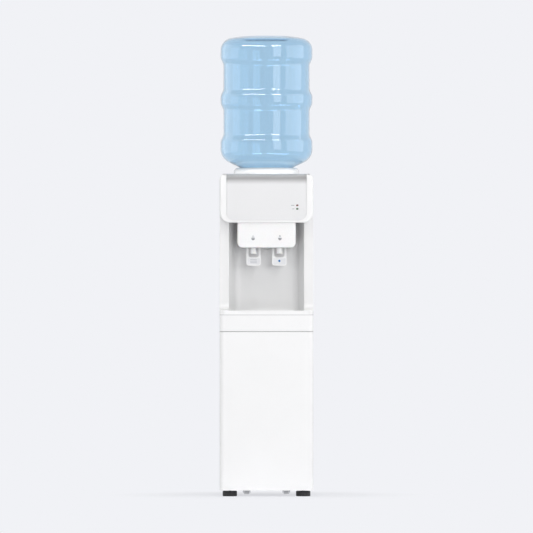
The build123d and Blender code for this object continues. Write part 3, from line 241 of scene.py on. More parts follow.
# ---------------- Shared surface effects ----------------
class Effect:
    """A node group that several finishes share, built once.

    Attributes:
        name: the group's name.
        inputs: the default of each number that goes in.
        outputs: the socket type of each result.
        tree: the group's tree, once it is built.
    """

    name = ""
    inputs: dict[str, float] = {}
    outputs: dict[str, str] = {"Mask": "NodeSocketFloat"}
    tree: bpy.types.NodeTree | None = None

    @classmethod
    def fill(cls, graph: Graph, entry: Outputs) -> dict[str, Socket]:
        """Adds the nodes and gives the socket of each result."""
        raise NotImplementedError

    @classmethod
    def group(cls) -> bpy.types.NodeTree:
        """The group's tree, built when it is first asked for.

        Returns:
            The group's tree.
        """
        if cls.tree is None:
            cls.tree = bpy.data.node_groups.new(cls.name, "ShaderNodeTree")
            interface = cls.tree.interface
            for label, value in cls.inputs.items():
                socket = interface.new_socket(label, in_out="INPUT",
                                              socket_type="NodeSocketFloat")
                socket.default_value = value
            for label, kind in cls.outputs.items():
                interface.new_socket(label, in_out="OUTPUT", socket_type=kind)
            graph = Graph(cls.tree)
            graph.add("NodeGroupOutput", cls.fill(graph, graph.add("NodeGroupInput").outputs))
        return cls.tree


class MouldedGrain(Effect):
    """Uneven skin of a moulding: a normal, its fine grain and a slow mottle."""

    name = "moulded_grain"
    inputs = {"Scale": 900.0, "Depth": 0.00002}
    outputs = {"Normal": "NodeSocketVector", "Mottle": "NodeSocketFloat",
               "Grain": "NodeSocketFloat"}

    @classmethod
    def fill(cls, graph: Graph, entry: Outputs) -> dict[str, Socket]:
        """Adds the grain, the mottle and the bump.

        Args:
            graph: the nodes to add to.
            entry: the tree's inputs.

        Returns:
            The socket of each result.
        """
        grain = graph.noise(scale=entry["Scale"], detail=4.0, roughness=0.55)
        mottle = graph.noise(scale=9.0, detail=2.0)
        normal = graph.bump(grain, distance=entry["Depth"])
        return {"Normal": normal, "Mottle": mottle, "Grain": grain}


class EdgeRub(Effect):
    """Mask of the outer edges that hands and cloths rub."""

    name = "edge_rub"
    inputs = {"Width": 0.0012, "Amount": 0.5}

    @classmethod
    def fill(cls, graph: Graph, entry: Outputs) -> dict[str, Socket]:
        """Compares the rounded normal with the true one, broken up by noise.

        Args:
            graph: the nodes to add to.
            entry: the tree's inputs.

        Returns:
            The socket of each result.
        """
        rounded = graph.add("ShaderNodeBevel", {"Radius": entry["Width"]}, samples=4).outputs[0]
        true = graph.add("ShaderNodeNewGeometry").outputs["True Normal"]
        likeness = graph.add("ShaderNodeVectorMath", {0: rounded, 1: true}, operation="DOT_PRODUCT")
        edge = graph.remap(graph.math("SUBTRACT", 1.0, likeness.outputs["Value"]), 0.02, 0.3)
        patches = graph.remap(graph.noise(scale=60.0, detail=3.0), 0.35, 0.65, 0.3, 1.0)
        return {"Mask": graph.product(edge, patches, entry["Amount"])}


class SettledDust(Effect):
    """Mask of faint dust on what faces up."""

    name = "settled_dust"
    inputs = {"Amount": 0.2}

    @classmethod
    def fill(cls, graph: Graph, entry: Outputs) -> dict[str, Socket]:
        """Takes the upward share of the normal and breaks it up by noise.

        Args:
            graph: the nodes to add to.
            entry: the tree's inputs.

        Returns:
            The socket of each result.
        """
        normal = graph.add("ShaderNodeNewGeometry").outputs["Normal"]
        upward = graph.remap(graph.axis("Z", normal), 0.6, 1.0)
        specks = graph.remap(graph.noise(scale=140.0, detail=5.0), 0.4, 0.75)
        return {"Mask": graph.product(upward, specks, entry["Amount"])}


# ---------------- Finishes ----------------
@dataclass(frozen=True)
class Finish:
    """A surface finish. Its material is built when a piece first takes it.

    Attributes:
        materials: the materials built so far, by name.
        name: the material's name.
        colour: the main colour.
    """

    materials: ClassVar[dict[str, bpy.types.Material]] = {}
    name: str
    colour: Colour

    def shade(self, graph: Graph) -> Socket:
        """Adds the shader nodes and gives the surface's socket."""
        raise NotImplementedError

    def material(self) -> bpy.types.Material:
        """The finish's material.

        Returns:
            The material.
        """
        if self.name not in self.materials:
            self.materials[self.name] = bpy.data.materials.new(self.name)
            graph = Graph.of(self.materials[self.name])
            graph.add("ShaderNodeOutputMaterial", {"Surface": self.shade(graph)})
        return self.materials[self.name]


@dataclass(frozen=True)
class Moulding(Finish):
    """Moulded plastic: faint mottle, fine grain, rubbed edges and a trace of dust.

    Attributes:
        roughness: the surface's mean roughness.
        grain: grain frequency per metre.
        depth: grain depth in metres.
        rub: how far the edges lighten, 0 to 1.
        dust: how far upward faces dull, 0 to 1.
        coat: strength of the gloss layer.
        soft: share of light that spreads under the surface.
    """

    roughness: float = 0.32
    grain: float = 900.0
    depth: float = 0.00002
    rub: float = 0.35
    dust: float = 0.05
    coat: float = 0.0
    soft: float = 0.0

    def base(self, graph: Graph) -> Any:
        """Colour before mottle, rubbing and dust."""
        return self.colour

    def shade(self, graph: Graph) -> Socket:
        """Builds the plastic.

        Args:
            graph: the nodes to add to.

        Returns:
            The surface's socket.
        """
        skin = graph.group(MouldedGrain, Scale=self.grain, Depth=self.depth)
        rub = graph.group(EdgeRub, Amount=self.rub)["Mask"]
        dust = graph.group(SettledDust, Amount=self.dust)["Mask"]
        mottle = graph.vary(skin["Mottle"], 0.0, 0.06)
        colour = graph.mix(mottle, self.base(graph), shifted(self.colour, 0.86))
        colour = graph.mix(rub, colour, shifted(self.colour, 1.2, 0.02))
        colour = graph.mix(dust, colour, tone(206, 203, 197))
        rough = graph.vary(skin["Grain"], self.roughness - 0.04, self.roughness + 0.06)
        rough = graph.math("ADD", rough, graph.product(dust, 0.4))
        return graph.surface({"Base Color": colour, "Roughness": rough, "Normal": skin["Normal"],
                              "IOR": 1.49, "Coat Weight": self.coat, "Coat Roughness": 0.08,
                              "Subsurface Weight": self.soft, "Subsurface Scale": 0.002})


@dataclass(frozen=True, kw_only=True)
class FasciaMoulding(Moulding):
    """Fascia plastic with painted shade where its top rolls back, darkest part way up the roll.

    Attributes:
        shadow: painted shade at the darkest height of the roll.
        crest_shade: lighter painted shade along the top edge.
        roll_base: height where the roll starts.
        roll_dark: height where the painted shade is darkest.
        roll_top: height of the top edge.
    """

    shadow: Colour
    crest_shade: Colour
    roll_base: float
    roll_dark: float
    roll_top: float

    def base(self, graph: Graph) -> Any:
        """Blends the painted shade colours up the roll.

        Args:
            graph: the nodes to add to.

        Returns:
            The colour's socket.
        """
        height = graph.axis("Z")
        lower = graph.remap(height, self.roll_base, self.roll_dark)
        upper = graph.remap(height, self.roll_dark, self.roll_top)
        return graph.mix(upper, graph.mix(lower, self.colour, self.shadow), self.crest_shade)


@dataclass(frozen=True, kw_only=True)
class DishedMoulding(Moulding):
    """Plastic with painted shade on its sunk field.

    Attributes:
        dish_shade: the field's colour, made greyer as painted shade.
        field_y: depth at which the field's floor lies.
        reach: how far from that depth still counts as the floor.
    """

    dish_shade: Colour
    field_y: float
    reach: float = 0.0003

    def base(self, graph: Graph) -> Any:
        """Takes the field's painted shade where the depth is the floor's."""
        inside = graph.math("LESS_THAN", graph.away(graph.axis("Y"), self.field_y), self.reach)
        return graph.mix(inside, self.colour, self.dish_shade)


@dataclass(frozen=True, kw_only=True)
class SeamedMoulding(Moulding):
    """Plastic with painted shade along a level seam, a dark line where the gap would lie in shadow.

    Attributes:
        seam_shade: painted shade in the seam.
        seam_z: height of the seam.
        seam_half: half the height of the painted shade.
    """

    seam_shade: Colour
    seam_z: float
    seam_half: float = 0.0008

    def base(self, graph: Graph) -> Any:
        """Paints shade on the plastic close to the seam.

        Args:
            graph: the nodes to add to.

        Returns:
            The colour's socket.
        """
        away = graph.away(graph.axis("Z"), self.seam_z)
        share = graph.remap(away, 0.5 * self.seam_half, 1.5 * self.seam_half, 1.0, 0.0)
        return graph.mix(share, self.colour, self.seam_shade)


@dataclass(frozen=True)
class PowderCoat(Finish):
    """Baked coat on sheet steel: orange peel under a thin gloss.

    Attributes:
        roughness: the coat's roughness.
        peel: peel frequency per metre.
    """

    roughness: float = 0.38
    peel: float = 420.0

    def shade(self, graph: Graph) -> Socket:
        """Builds the coat.

        Args:
            graph: the nodes to add to.

        Returns:
            The surface's socket.
        """
        peel = graph.add("ShaderNodeTexVoronoi", {"Vector": graph.place(), "Scale": self.peel,
                                                  "Smoothness": 1.0}, feature="SMOOTH_F1")
        rub = graph.group(EdgeRub, Amount=0.25)["Mask"]
        slow = graph.noise(scale=5.0, detail=3.0)
        colour = graph.mix(graph.vary(slow, 0.0, 0.5), self.colour, shifted(self.colour, 0.93))
        colour = graph.mix(rub, colour, tone(214, 214, 212))
        rough = graph.vary(slow, self.roughness - 0.03, self.roughness + 0.05)
        normal = graph.bump(peel.outputs["Distance"], distance=0.00006, strength=0.5)
        return graph.surface({"Base Color": colour, "Roughness": rough, "Normal": normal,
                              "IOR": 1.5})


class Lay(Enum):
    """Direction in which a metal's fine lines run."""

    AROUND = (4.0, 4.0, 700.0)
    UPRIGHT = (700.0, 700.0, 4.0)
    NONE = (90.0, 90.0, 90.0)


@dataclass(frozen=True)
class BareMetal(Finish):
    """Uncoated metal with drawn lines and faint tarnish.

    Attributes:
        tarnish: colour that the patches turn to.
        roughness: the mean roughness.
        lay: the direction of the lines.
    """

    tarnish: Colour
    roughness: float
    lay: Lay = Lay.NONE

    def shade(self, graph: Graph) -> Socket:
        """Builds the metal.

        Args:
            graph: the nodes to add to.

        Returns:
            The surface's socket.
        """
        lines = graph.noise(scale=1.0, detail=5.0, stretch=self.lay.value)
        patches = graph.remap(graph.noise(scale=28.0, detail=6.0), 0.42, 0.7, 0.0, 0.7)
        colour = graph.mix(patches, self.colour, self.tarnish)
        rough = graph.vary(lines, self.roughness - 0.06, self.roughness + 0.1)
        normal = graph.bump(lines, distance=0.00003, strength=0.25)
        return graph.surface({"Base Color": colour, "Roughness": rough, "Normal": normal,
                              "Metallic": 1.0})


@dataclass(frozen=True)
class ClearPlastic(Finish):
    """Tinted clear plastic with faint flow lines and small scuffs.

    Attributes:
        roughness: roughness between scuffs.
        scuff: roughness of the scuffs.
        ior: index of refraction.
    """

    roughness: float = 0.005
    scuff: float = 0.05
    ior: float = 1.45

    def shade(self, graph: Graph) -> Socket:
        """Builds the plastic.

        Args:
            graph: the nodes to add to.

        Returns:
            The surface's socket.
        """
        flow = graph.noise(scale=1.0, detail=2.0, stretch=(30.0, 30.0, 3.0))
        colour = graph.mix(graph.vary(flow, 0.0, 0.12), self.colour, shifted(self.colour, 0.85))
        scuffs = graph.noise(scale=45.0, detail=8.0, roughness=0.7)
        rough = graph.remap(scuffs, 0.56, 0.8, self.roughness, self.scuff)
        normal = graph.bump(flow, distance=0.0004, strength=0.3)
        return graph.surface({"Base Color": colour, "Roughness": rough, "Normal": normal,
                              "IOR": self.ior, "Transmission Weight": 1.0})


@dataclass(frozen=True)
class LampLens(Finish):
    """Small translucent lens, brighter at its middle.

    Attributes:
        glow: strength of the light inside.
        centre: middle of the lens.
        reach: distance from the middle over which the lens darkens.
    """

    glow: float
    centre: Point3
    reach: float = 0.005

    def shade(self, graph: Graph) -> Socket:
        """Builds the lens.

        Args:
            graph: the nodes to add to.

        Returns:
            The surface's socket.
        """
        shift = graph.add("ShaderNodeVectorMath", {0: graph.place(), 1: self.centre},
                          operation="DISTANCE")
        middle = graph.remap(shift.outputs["Value"], 0.0, self.reach, 1.0, 0.35)
        ridges = graph.add("ShaderNodeTexVoronoi", {"Vector": graph.place(), "Scale": 1300.0})
        colour = graph.mix(graph.product(middle, 0.25), self.colour, shifted(self.colour, 0.5, 0.5))
        normal = graph.bump(ridges.outputs["Distance"], distance=0.0001)
        return graph.surface({"Base Color": colour, "Roughness": 0.2, "Normal": normal,
                              "Emission Color": colour, "Emission Strength": self.glow})


@dataclass(frozen=True)
class PrintedMark(Finish):
    """Ink in level bands on a moulding, with the main colour above.

    Attributes:
        lower: ink of the lower part.
        change: height at which one ink gives way to the other.
        blur: height over which it does.
        stripe: half the height of the bare stripe between them.
    """

    lower: Colour
    change: float
    blur: float = 0.0004
    stripe: float = 0.0

    def shade(self, graph: Graph) -> Socket:
        """Builds the ink.

        Args:
            graph: the nodes to add to.

        Returns:
            The surface's socket.
        """
        height = graph.axis("Z")
        upper = graph.remap(height, self.change - self.blur, self.change + self.blur)
        ink = graph.mix(upper, self.lower, self.colour)
        if self.stripe > 0:
            away = graph.away(height, self.change)
            bare = graph.remap(away, self.stripe, self.stripe + self.blur, 1.0, 0.0)
            ink = graph.mix(bare, ink, tone(232, 233, 236))
        pits = graph.remap(graph.noise(scale=1600.0, detail=2.0), 0.55, 0.75, 0.0, 0.3)
        ink = graph.mix(pits, ink, tone(225, 225, 228))
        return graph.surface({"Base Color": ink, "Roughness": 0.45})


class Finishes:
    """The cooler's finishes."""

    shell = Moulding("shell_white", tone(237, 237, 237), 0.3, rub=0.2)
    column = Moulding("column_white", tone(230, 230, 230), 0.34, rub=0.2)
    tray = Moulding("tray_white", tone(238, 238, 238), 0.3, rub=0.3)
    grille = Moulding("grille_grey", tone(120, 122, 125), 0.4, rub=0.3, dust=0.1)
    tap = Moulding("tap_white", tone(236, 236, 236), 0.24, coat=0.3, rub=0.2, soft=0.1)
    collar = Moulding("collar_white", tone(250, 250, 250), 0.18, rub=0.1, coat=0.6)
    emboss = Moulding("emboss_grey", tone(176, 179, 185), 0.35, rub=0.6)
    dash = Moulding("dash_grey", tone(150, 154, 160), 0.4, rub=0.0)
    dot = Moulding("dot_blue", tone(0, 108, 176), 0.3, rub=0.0)
    base = Moulding("base_grey", tone(196, 198, 202), 0.45, 500.0, 0.00004, rub=0.4, dust=0.2)
    steel_coat = PowderCoat("coat_white", tone(240, 241, 243))
    black_coat = PowderCoat("coat_black", tone(34, 35, 37), 0.42)
    rubber = Moulding("rubber_black", tone(30, 30, 31), 0.5, 600.0, 0.00006, rub=0.5, dust=0.25)
    nylon = Moulding("roller_nylon", tone(250, 250, 248), 0.4, 700.0, 0.00003, rub=0.4)
    cap = Moulding("cap_white", tone(236, 237, 240), 0.35, soft=0.15)
    probe = Moulding("probe_grey", tone(190, 194, 198), 0.35)
    hose = Moulding("hose_milky", tone(226, 228, 226), 0.35, soft=0.3)
    foam = Moulding("foam_white", tone(232, 232, 228), 0.8, 350.0, 0.0005, rub=0.1, dust=0.1)
    control = Moulding("control_grey", tone(120, 124, 128), 0.4)
    board = Moulding("board_green", tone(40, 96, 62), 0.35, 300.0, 0.00003)
    switch = Moulding("switch_black", tone(30, 30, 32), rub=0.5)
    stainless = BareMetal("stainless", tone(196, 197, 196), tone(178, 178, 176), 0.26, Lay.AROUND)
    zinc = BareMetal("zinc_sheet", tone(188, 191, 194), tone(160, 164, 168), 0.38)
    aluminium = BareMetal("aluminium", tone(206, 207, 209), tone(182, 184, 186), 0.36, Lay.UPRIGHT)
    copper = BareMetal("copper", tone(202, 130, 92), tone(138, 84, 58), 0.3)
    screw = BareMetal("screw_steel", tone(200, 200, 198), tone(160, 160, 158), 0.25)
    # Dark colour that stands in for the shade inside the screws' cross recesses.
    recess_shade = Moulding("recess_painted_shade", tone(58, 58, 58), 0.6, rub=0.2)
    bottle = ClearPlastic("bottle_blue", tone(208, 230, 244))


# ---------------- Making and dressing pieces ----------------
def link(name: str, data: bpy.types.ID) -> bpy.types.Object:
    """Adds an object with its data to the scene.

    Args:
        name: the object's name.
        data: its mesh, light or camera.

    Returns:
        The new object.
    """
    made = bpy.data.objects.new(name, data)
    bpy.context.scene.collection.objects.link(made)
    return made


def dress(finish: Finish, *nodes: str) -> None:
    """Gives CAD nodes a finish.

    Args:
        finish: the finish.
        nodes: names of the nodes.
    """
    for name in nodes:
        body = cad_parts[name]
        if not body.material_slots:
            body.data.materials.append(finish.material())
        for place in body.material_slots:
            place.material = finish.material()


def piece(name: str, mesh: bpy.types.Mesh, body: str, finish: Finish,
          smooth: bool = True) -> bpy.types.Object:
    """Puts a mesh into the scene on a body of the frame.

    Args:
        name: the piece's name.
        mesh: its mesh, in the frame's coordinates.
        body: the body that it rides on.
        finish: its finish.
        smooth: whether its faces shade smoothly.

    Returns:
        The new object.
    """
    mesh.materials.clear()
    mesh.materials.append(finish.material())
    for face in mesh.polygons:
        face.use_smooth = smooth
    made = link(name, mesh)
    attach(made, body)
    log.info("%s: %d faces on %s", name, len(mesh.polygons), body)
    return made


def closed(name: str, work: bmesh.types.BMesh) -> bpy.types.Mesh:
    """Keeps worked geometry as a mesh with its faces outward, and frees it.

    Args:
        name: the mesh's name.
        work: the closed geometry.

    Returns:
        The mesh.
    """
    bmesh.ops.recalc_face_normals(work, faces=work.faces)
    mesh = bpy.data.meshes.new(name)
    work.to_mesh(mesh)
    work.free()
    return mesh


def skin(work: bmesh.types.BMesh, rings: Sequence[Sequence[bmesh.types.BMVert]]) -> None:
    """Joins rings of corners with faces, one ring to the next.

    Args:
        work: the geometry that the corners are in.
        rings: the rings; a pole is a ring of one corner over and over.
    """
    for first, second in zip(rings, rings[1:]):
        for step in range(len(first)):
            after = (step + 1) % len(first)
            corners = (first[step], first[after], second[after], second[step])
            face = list(dict.fromkeys(corners))
            if len(face) > 2:
                work.faces.new(face)


def lathe(name: str, profile: Sequence[Point2], steps: int) -> bpy.types.Mesh:
    """Turns a profile about Z; a point on the axis becomes a pole.

    Args:
        name: the mesh's name.
        profile: (radius, height) points.
        steps: sides of each ring.

    Returns:
        The closed mesh.
    """
    work = bmesh.new()
    turns = [2 * math.pi * step / steps for step in range(steps)]
    rings = []
    for radius, height in profile:
        if radius < 1e-7:
            rings.append([work.verts.new((0.0, 0.0, height))] * steps)
        else:
            rings.append([work.verts.new((radius * math.cos(turn), radius * math.sin(turn), height))
                          for turn in turns])
    skin(work, rings)
    return closed(name, work)


def rounded_path(points: Sequence[Point2], radii: Sequence[float], steps: int) -> list[Point2]:
    """Rounds the inner corners of an open path with arcs.

    Args:
        points: the corners, ends included.
        radii: a radius for each inner corner.
        steps: pieces of each arc.

    Returns:
        The path with its arcs as short runs.
    """
    path = [points[0]]
    for before, corner, after, radius in zip(points, points[1:], points[2:], radii):
        middle = Vector(corner)
        back = (Vector(before) - middle).normalized()
        onward = (Vector(after) - middle).normalized()
        half = back.angle(onward) / 2
        centre = middle + (back + onward).normalized() * (radius / math.sin(half))
        start = middle + back * (radius / math.tan(half)) - centre
        end = middle + onward * (radius / math.tan(half)) - centre
        sweep = start.angle(end)
        for step in range(steps + 1):
            share = step / steps
            arm = start * math.sin((1 - share) * sweep) + end * math.sin(share * sweep)
            path.append(tuple(centre + arm / math.sin(sweep)))
    return path + [points[-1]]


def prism(name: str, outline: Sequence[Point2], front: float, rear: float,
          edge: float) -> bpy.types.Mesh:
    """Solid with an outline in X and Z and a small round on its front edge.

    Args:
        name: the mesh's name.
        outline: (x, z) points in order.
        front: y of the front face.
        rear: y of the rear face.
        edge: width of the front edge's round.

    Returns:
        The closed mesh.
    """
    work = bmesh.new()
    middle = Vector((sum(x for x, _ in outline), sum(z for _, z in outline))) / len(outline)
    bend = edge * 0.3
    rows = []
    for y, inset in ((rear, 0.0), (front + edge, 0.0), (front + bend, bend), (front, edge)):
        row = []
        for point in outline:
            arm = Vector(point) - middle
            shorter = middle + arm * max(0.0, 1 - inset / max(arm.length, 1e-6))
            row.append(work.verts.new((shorter.x, y, shorter.y)))
        rows.append(row)
    skin(work, rows)
    work.faces.new(rows[0])
    work.faces.new(rows[-1])
    return closed(name, work)


def pill(centre: Point2, width: float, height: float, steps: int = 8) -> list[Point2]:
    """Outline of a bar with round ends.

    Args:
        centre: (x, z) of its middle.
        width: length along X.
        height: thickness along Z.
        steps: pieces of each round end.

    Returns:
        The outline's points.
    """
    radius = height / 2
    reach = width / 2 - radius
    outline = []
    for side in (1, -1):
        for step in range(steps + 1):
            angle = math.pi * step / steps - side * math.pi / 2
            outline.append((centre[0] + side * reach + radius * math.cos(angle),
                            centre[1] + radius * math.sin(angle)))
    return outline


# ---------------- What repeats ----------------
class Layout:
    """A Geometry Nodes tree that lays out what repeats, built once.

    Attributes:
        name: the tree's name.
        inputs: the socket type of each named input.
        tree: the tree, once it is built.
    """

    name = ""
    inputs: dict[str, str] = {}
    tree: bpy.types.NodeTree | None = None

    @classmethod
    def spread(cls, graph: Graph, entry: Outputs) -> Socket:
        """Adds the nodes and gives the laid-out instances."""
        raise NotImplementedError

    @classmethod
    def build(cls) -> bpy.types.NodeTree:
        """The tree, built when it is first asked for. It ends in plain geometry.

        Returns:
            The tree.
        """
        if cls.tree is None:
            cls.tree = bpy.data.node_groups.new(cls.name, "GeometryNodeTree")
            interface = cls.tree.interface
            for label, kind in (cls.inputs | {"Material": "NodeSocketMaterial"}).items():
                interface.new_socket(label, in_out="INPUT", socket_type=kind)
            interface.new_socket("Geometry", in_out="OUTPUT",
                                 socket_type="NodeSocketGeometry")
            graph = Graph(cls.tree)
            entry = graph.add("NodeGroupInput").outputs
            real = graph.add("GeometryNodeRealizeInstances", {"Geometry": cls.spread(graph, entry)})
            done = graph.add("GeometryNodeSetMaterial", {"Geometry": real.outputs[0],
                                                         "Material": entry["Material"]})
            graph.add("NodeGroupOutput", {"Geometry": done.outputs[0]})
        return cls.tree

    @classmethod
    def grow(cls, name: str, finish: Finish, values: dict[str, Any]) -> bpy.types.Mesh:
        """Runs the tree and keeps its result as a plain mesh.

        Args:
            name: the mesh's name.
            finish: the finish of what repeats.
            values: a value for each other input.

        Returns:
            The finished mesh.
        """
        carrier = link(name + "_carrier", bpy.data.meshes.new(name + "_seed"))
        modifier = carrier.modifiers.new("layout", "NODES")
        modifier.node_group = cls.build()
        values = values | {"Material": finish.material()}
        for item in modifier.node_group.interface.items_tree:
            if item.item_type == "SOCKET" and item.in_out == "INPUT":
                modifier[item.identifier] = values[item.name]
        seen = carrier.evaluated_get(bpy.context.evaluated_depsgraph_get())
        mesh = bpy.data.meshes.new_from_object(seen)
        mesh.name = name
        carrier.modifiers.remove(modifier)
        bpy.data.objects.remove(carrier)
        return mesh


class RingOfRibs(Layout):
    """Upright round ribs evenly round a circle."""

    name = "ring_of_ribs"
    inputs = {"Count": "NodeSocketInt", "Ring radius": "NodeSocketFloat",
              "Rib radius": "NodeSocketFloat", "Rib height": "NodeSocketFloat",
              "Centre": "NodeSocketVector"}

    @classmethod
    def spread(cls, graph: Graph, entry: Outputs) -> Socket:
        """Sets a rib on each corner of a circle.

        Args:
            graph: the nodes to add to.
            entry: the tree's inputs.

        Returns:
            The laid-out instances.
        """
        circle = graph.add("GeometryNodeMeshCircle", {"Vertices": entry["Count"],
                                                      "Radius": entry["Ring radius"]})
        rib = graph.add("GeometryNodeMeshCone",
                        {"Vertices": 8, "Side Segments": 1, "Radius Top": entry["Rib radius"],
                         "Radius Bottom": entry["Rib radius"], "Depth": entry["Rib height"]},
                        fill_type="NGON")
        ribs = graph.add("GeometryNodeInstanceOnPoints", {"Points": circle.outputs[0],
                                                          "Instance": rib.outputs[0]})
        return graph.add("GeometryNodeTransform", {"Geometry": ribs.outputs[0],
                                                   "Translation": entry["Centre"]}).outputs[0]


class GridOfCopies(Layout):
    """Copies of a small shape in rows and columns on an upright plane."""

    name = "grid_of_copies"
    inputs = {"Shape": "NodeSocketObject", "Columns": "NodeSocketInt", "Rows": "NodeSocketInt",
              "Width": "NodeSocketFloat", "Height": "NodeSocketFloat",
              "Centre": "NodeSocketVector"}

    @classmethod
    def spread(cls, graph: Graph, entry: Outputs) -> Socket:
        """Sets the shape on each corner of a grid.

        Args:
            graph: the nodes to add to.
            entry: the tree's inputs.

        Returns:
            The laid-out instances.
        """
        grid = graph.add("GeometryNodeMeshGrid",
                         {"Size X": entry["Width"], "Size Y": entry["Height"],
                          "Vertices X": entry["Columns"], "Vertices Y": entry["Rows"]})
        upright = graph.add("GeometryNodeTransform",
                            {"Geometry": grid.outputs[0], "Rotation": (math.pi / 2, 0.0, 0.0),
                             "Translation": entry["Centre"]})
        shape = graph.add("GeometryNodeObjectInfo", {"Object": entry["Shape"]})
        return graph.add("GeometryNodeInstanceOnPoints",
                         {"Points": upright.outputs[0],
                          "Instance": shape.outputs["Geometry"]}).outputs[0]


# ---------------- Sub-assemblies ----------------
@dataclass
class Cabinet:
    """Front mouldings, painted steel and base.

    Attributes:
        lip_height: height of the drip tray's front lip.
        seam_drop: how far below the lip the painted shade lies.
        wall: thickness of the mouldings.
        shelf_half: half the width of the shelf under the niche.
        splay: reach of the niche's side wall beyond the shelf at its front.
        splay_length: distance over which the side wall comes in to the shelf.
        joint: gap left to the shelf and to the wall above.
    """

    lip_height: float = 0.0115
    seam_drop: float = 0.0006
    wall: float = 0.003
    shelf_half: float = 0.0935
    splay: float = 0.015
    splay_length: float = 0.054
    joint: float = 0.0001

    def build(self) -> None:
        """Dresses the cabinet."""
        white = Finishes.shell.colour
        lip_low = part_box("tray_apron")[1].z - self.lip_height
        # The apron and the lower panel get painted shade in a dark line along their seams.
        apron = SeamedMoulding("apron_white", white, 0.3, rub=0.2, seam_shade=tone(176, 177, 179),
                               seam_z=lip_low - self.seam_drop)
        panel = SeamedMoulding("panel_white", white, 0.3, rub=0.2, seam_shade=tone(120, 121, 123),
                               seam_z=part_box("lower_front_panel")[1].z)
        dress(Finishes.shell, "lid")
        dress(apron, "tray_apron")
        dress(panel, "lower_front_panel")
        dress(Finishes.column, "front_surround")
        dress(Finishes.steel_coat, "side_panel_left", "side_panel_right", "rear_panel")
        dress(Finishes.base, "base_pan")
        self.shelf_corners()

    def shelf_corners(self) -> None:
        """Plates that close the shelf's corners under the niche's splayed side walls."""
        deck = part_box("tray_apron")[1].z - self.joint
        inner = self.shelf_half + self.joint
        front = -(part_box("side_panel_left")[0].y + self.joint)
        outline = [(inner, front), (inner + self.splay, front), (inner, front - self.splay_length)]
        both = bmesh.new()
        for side in (1, -1):
            turned = [(side * x, z) for x, z in outline][::side]
            plate = prism("plate", turned, deck - self.wall, deck, 0.0)
            plate.transform(Matrix.Rotation(math.pi / 2, 4, "X"))
            both.from_mesh(plate)
            bpy.data.meshes.remove(plate)
        mesh = closed("shelf_corners", both)
        piece("shelf_corners", mesh, "cabinet", Finishes.shell, smooth=False)


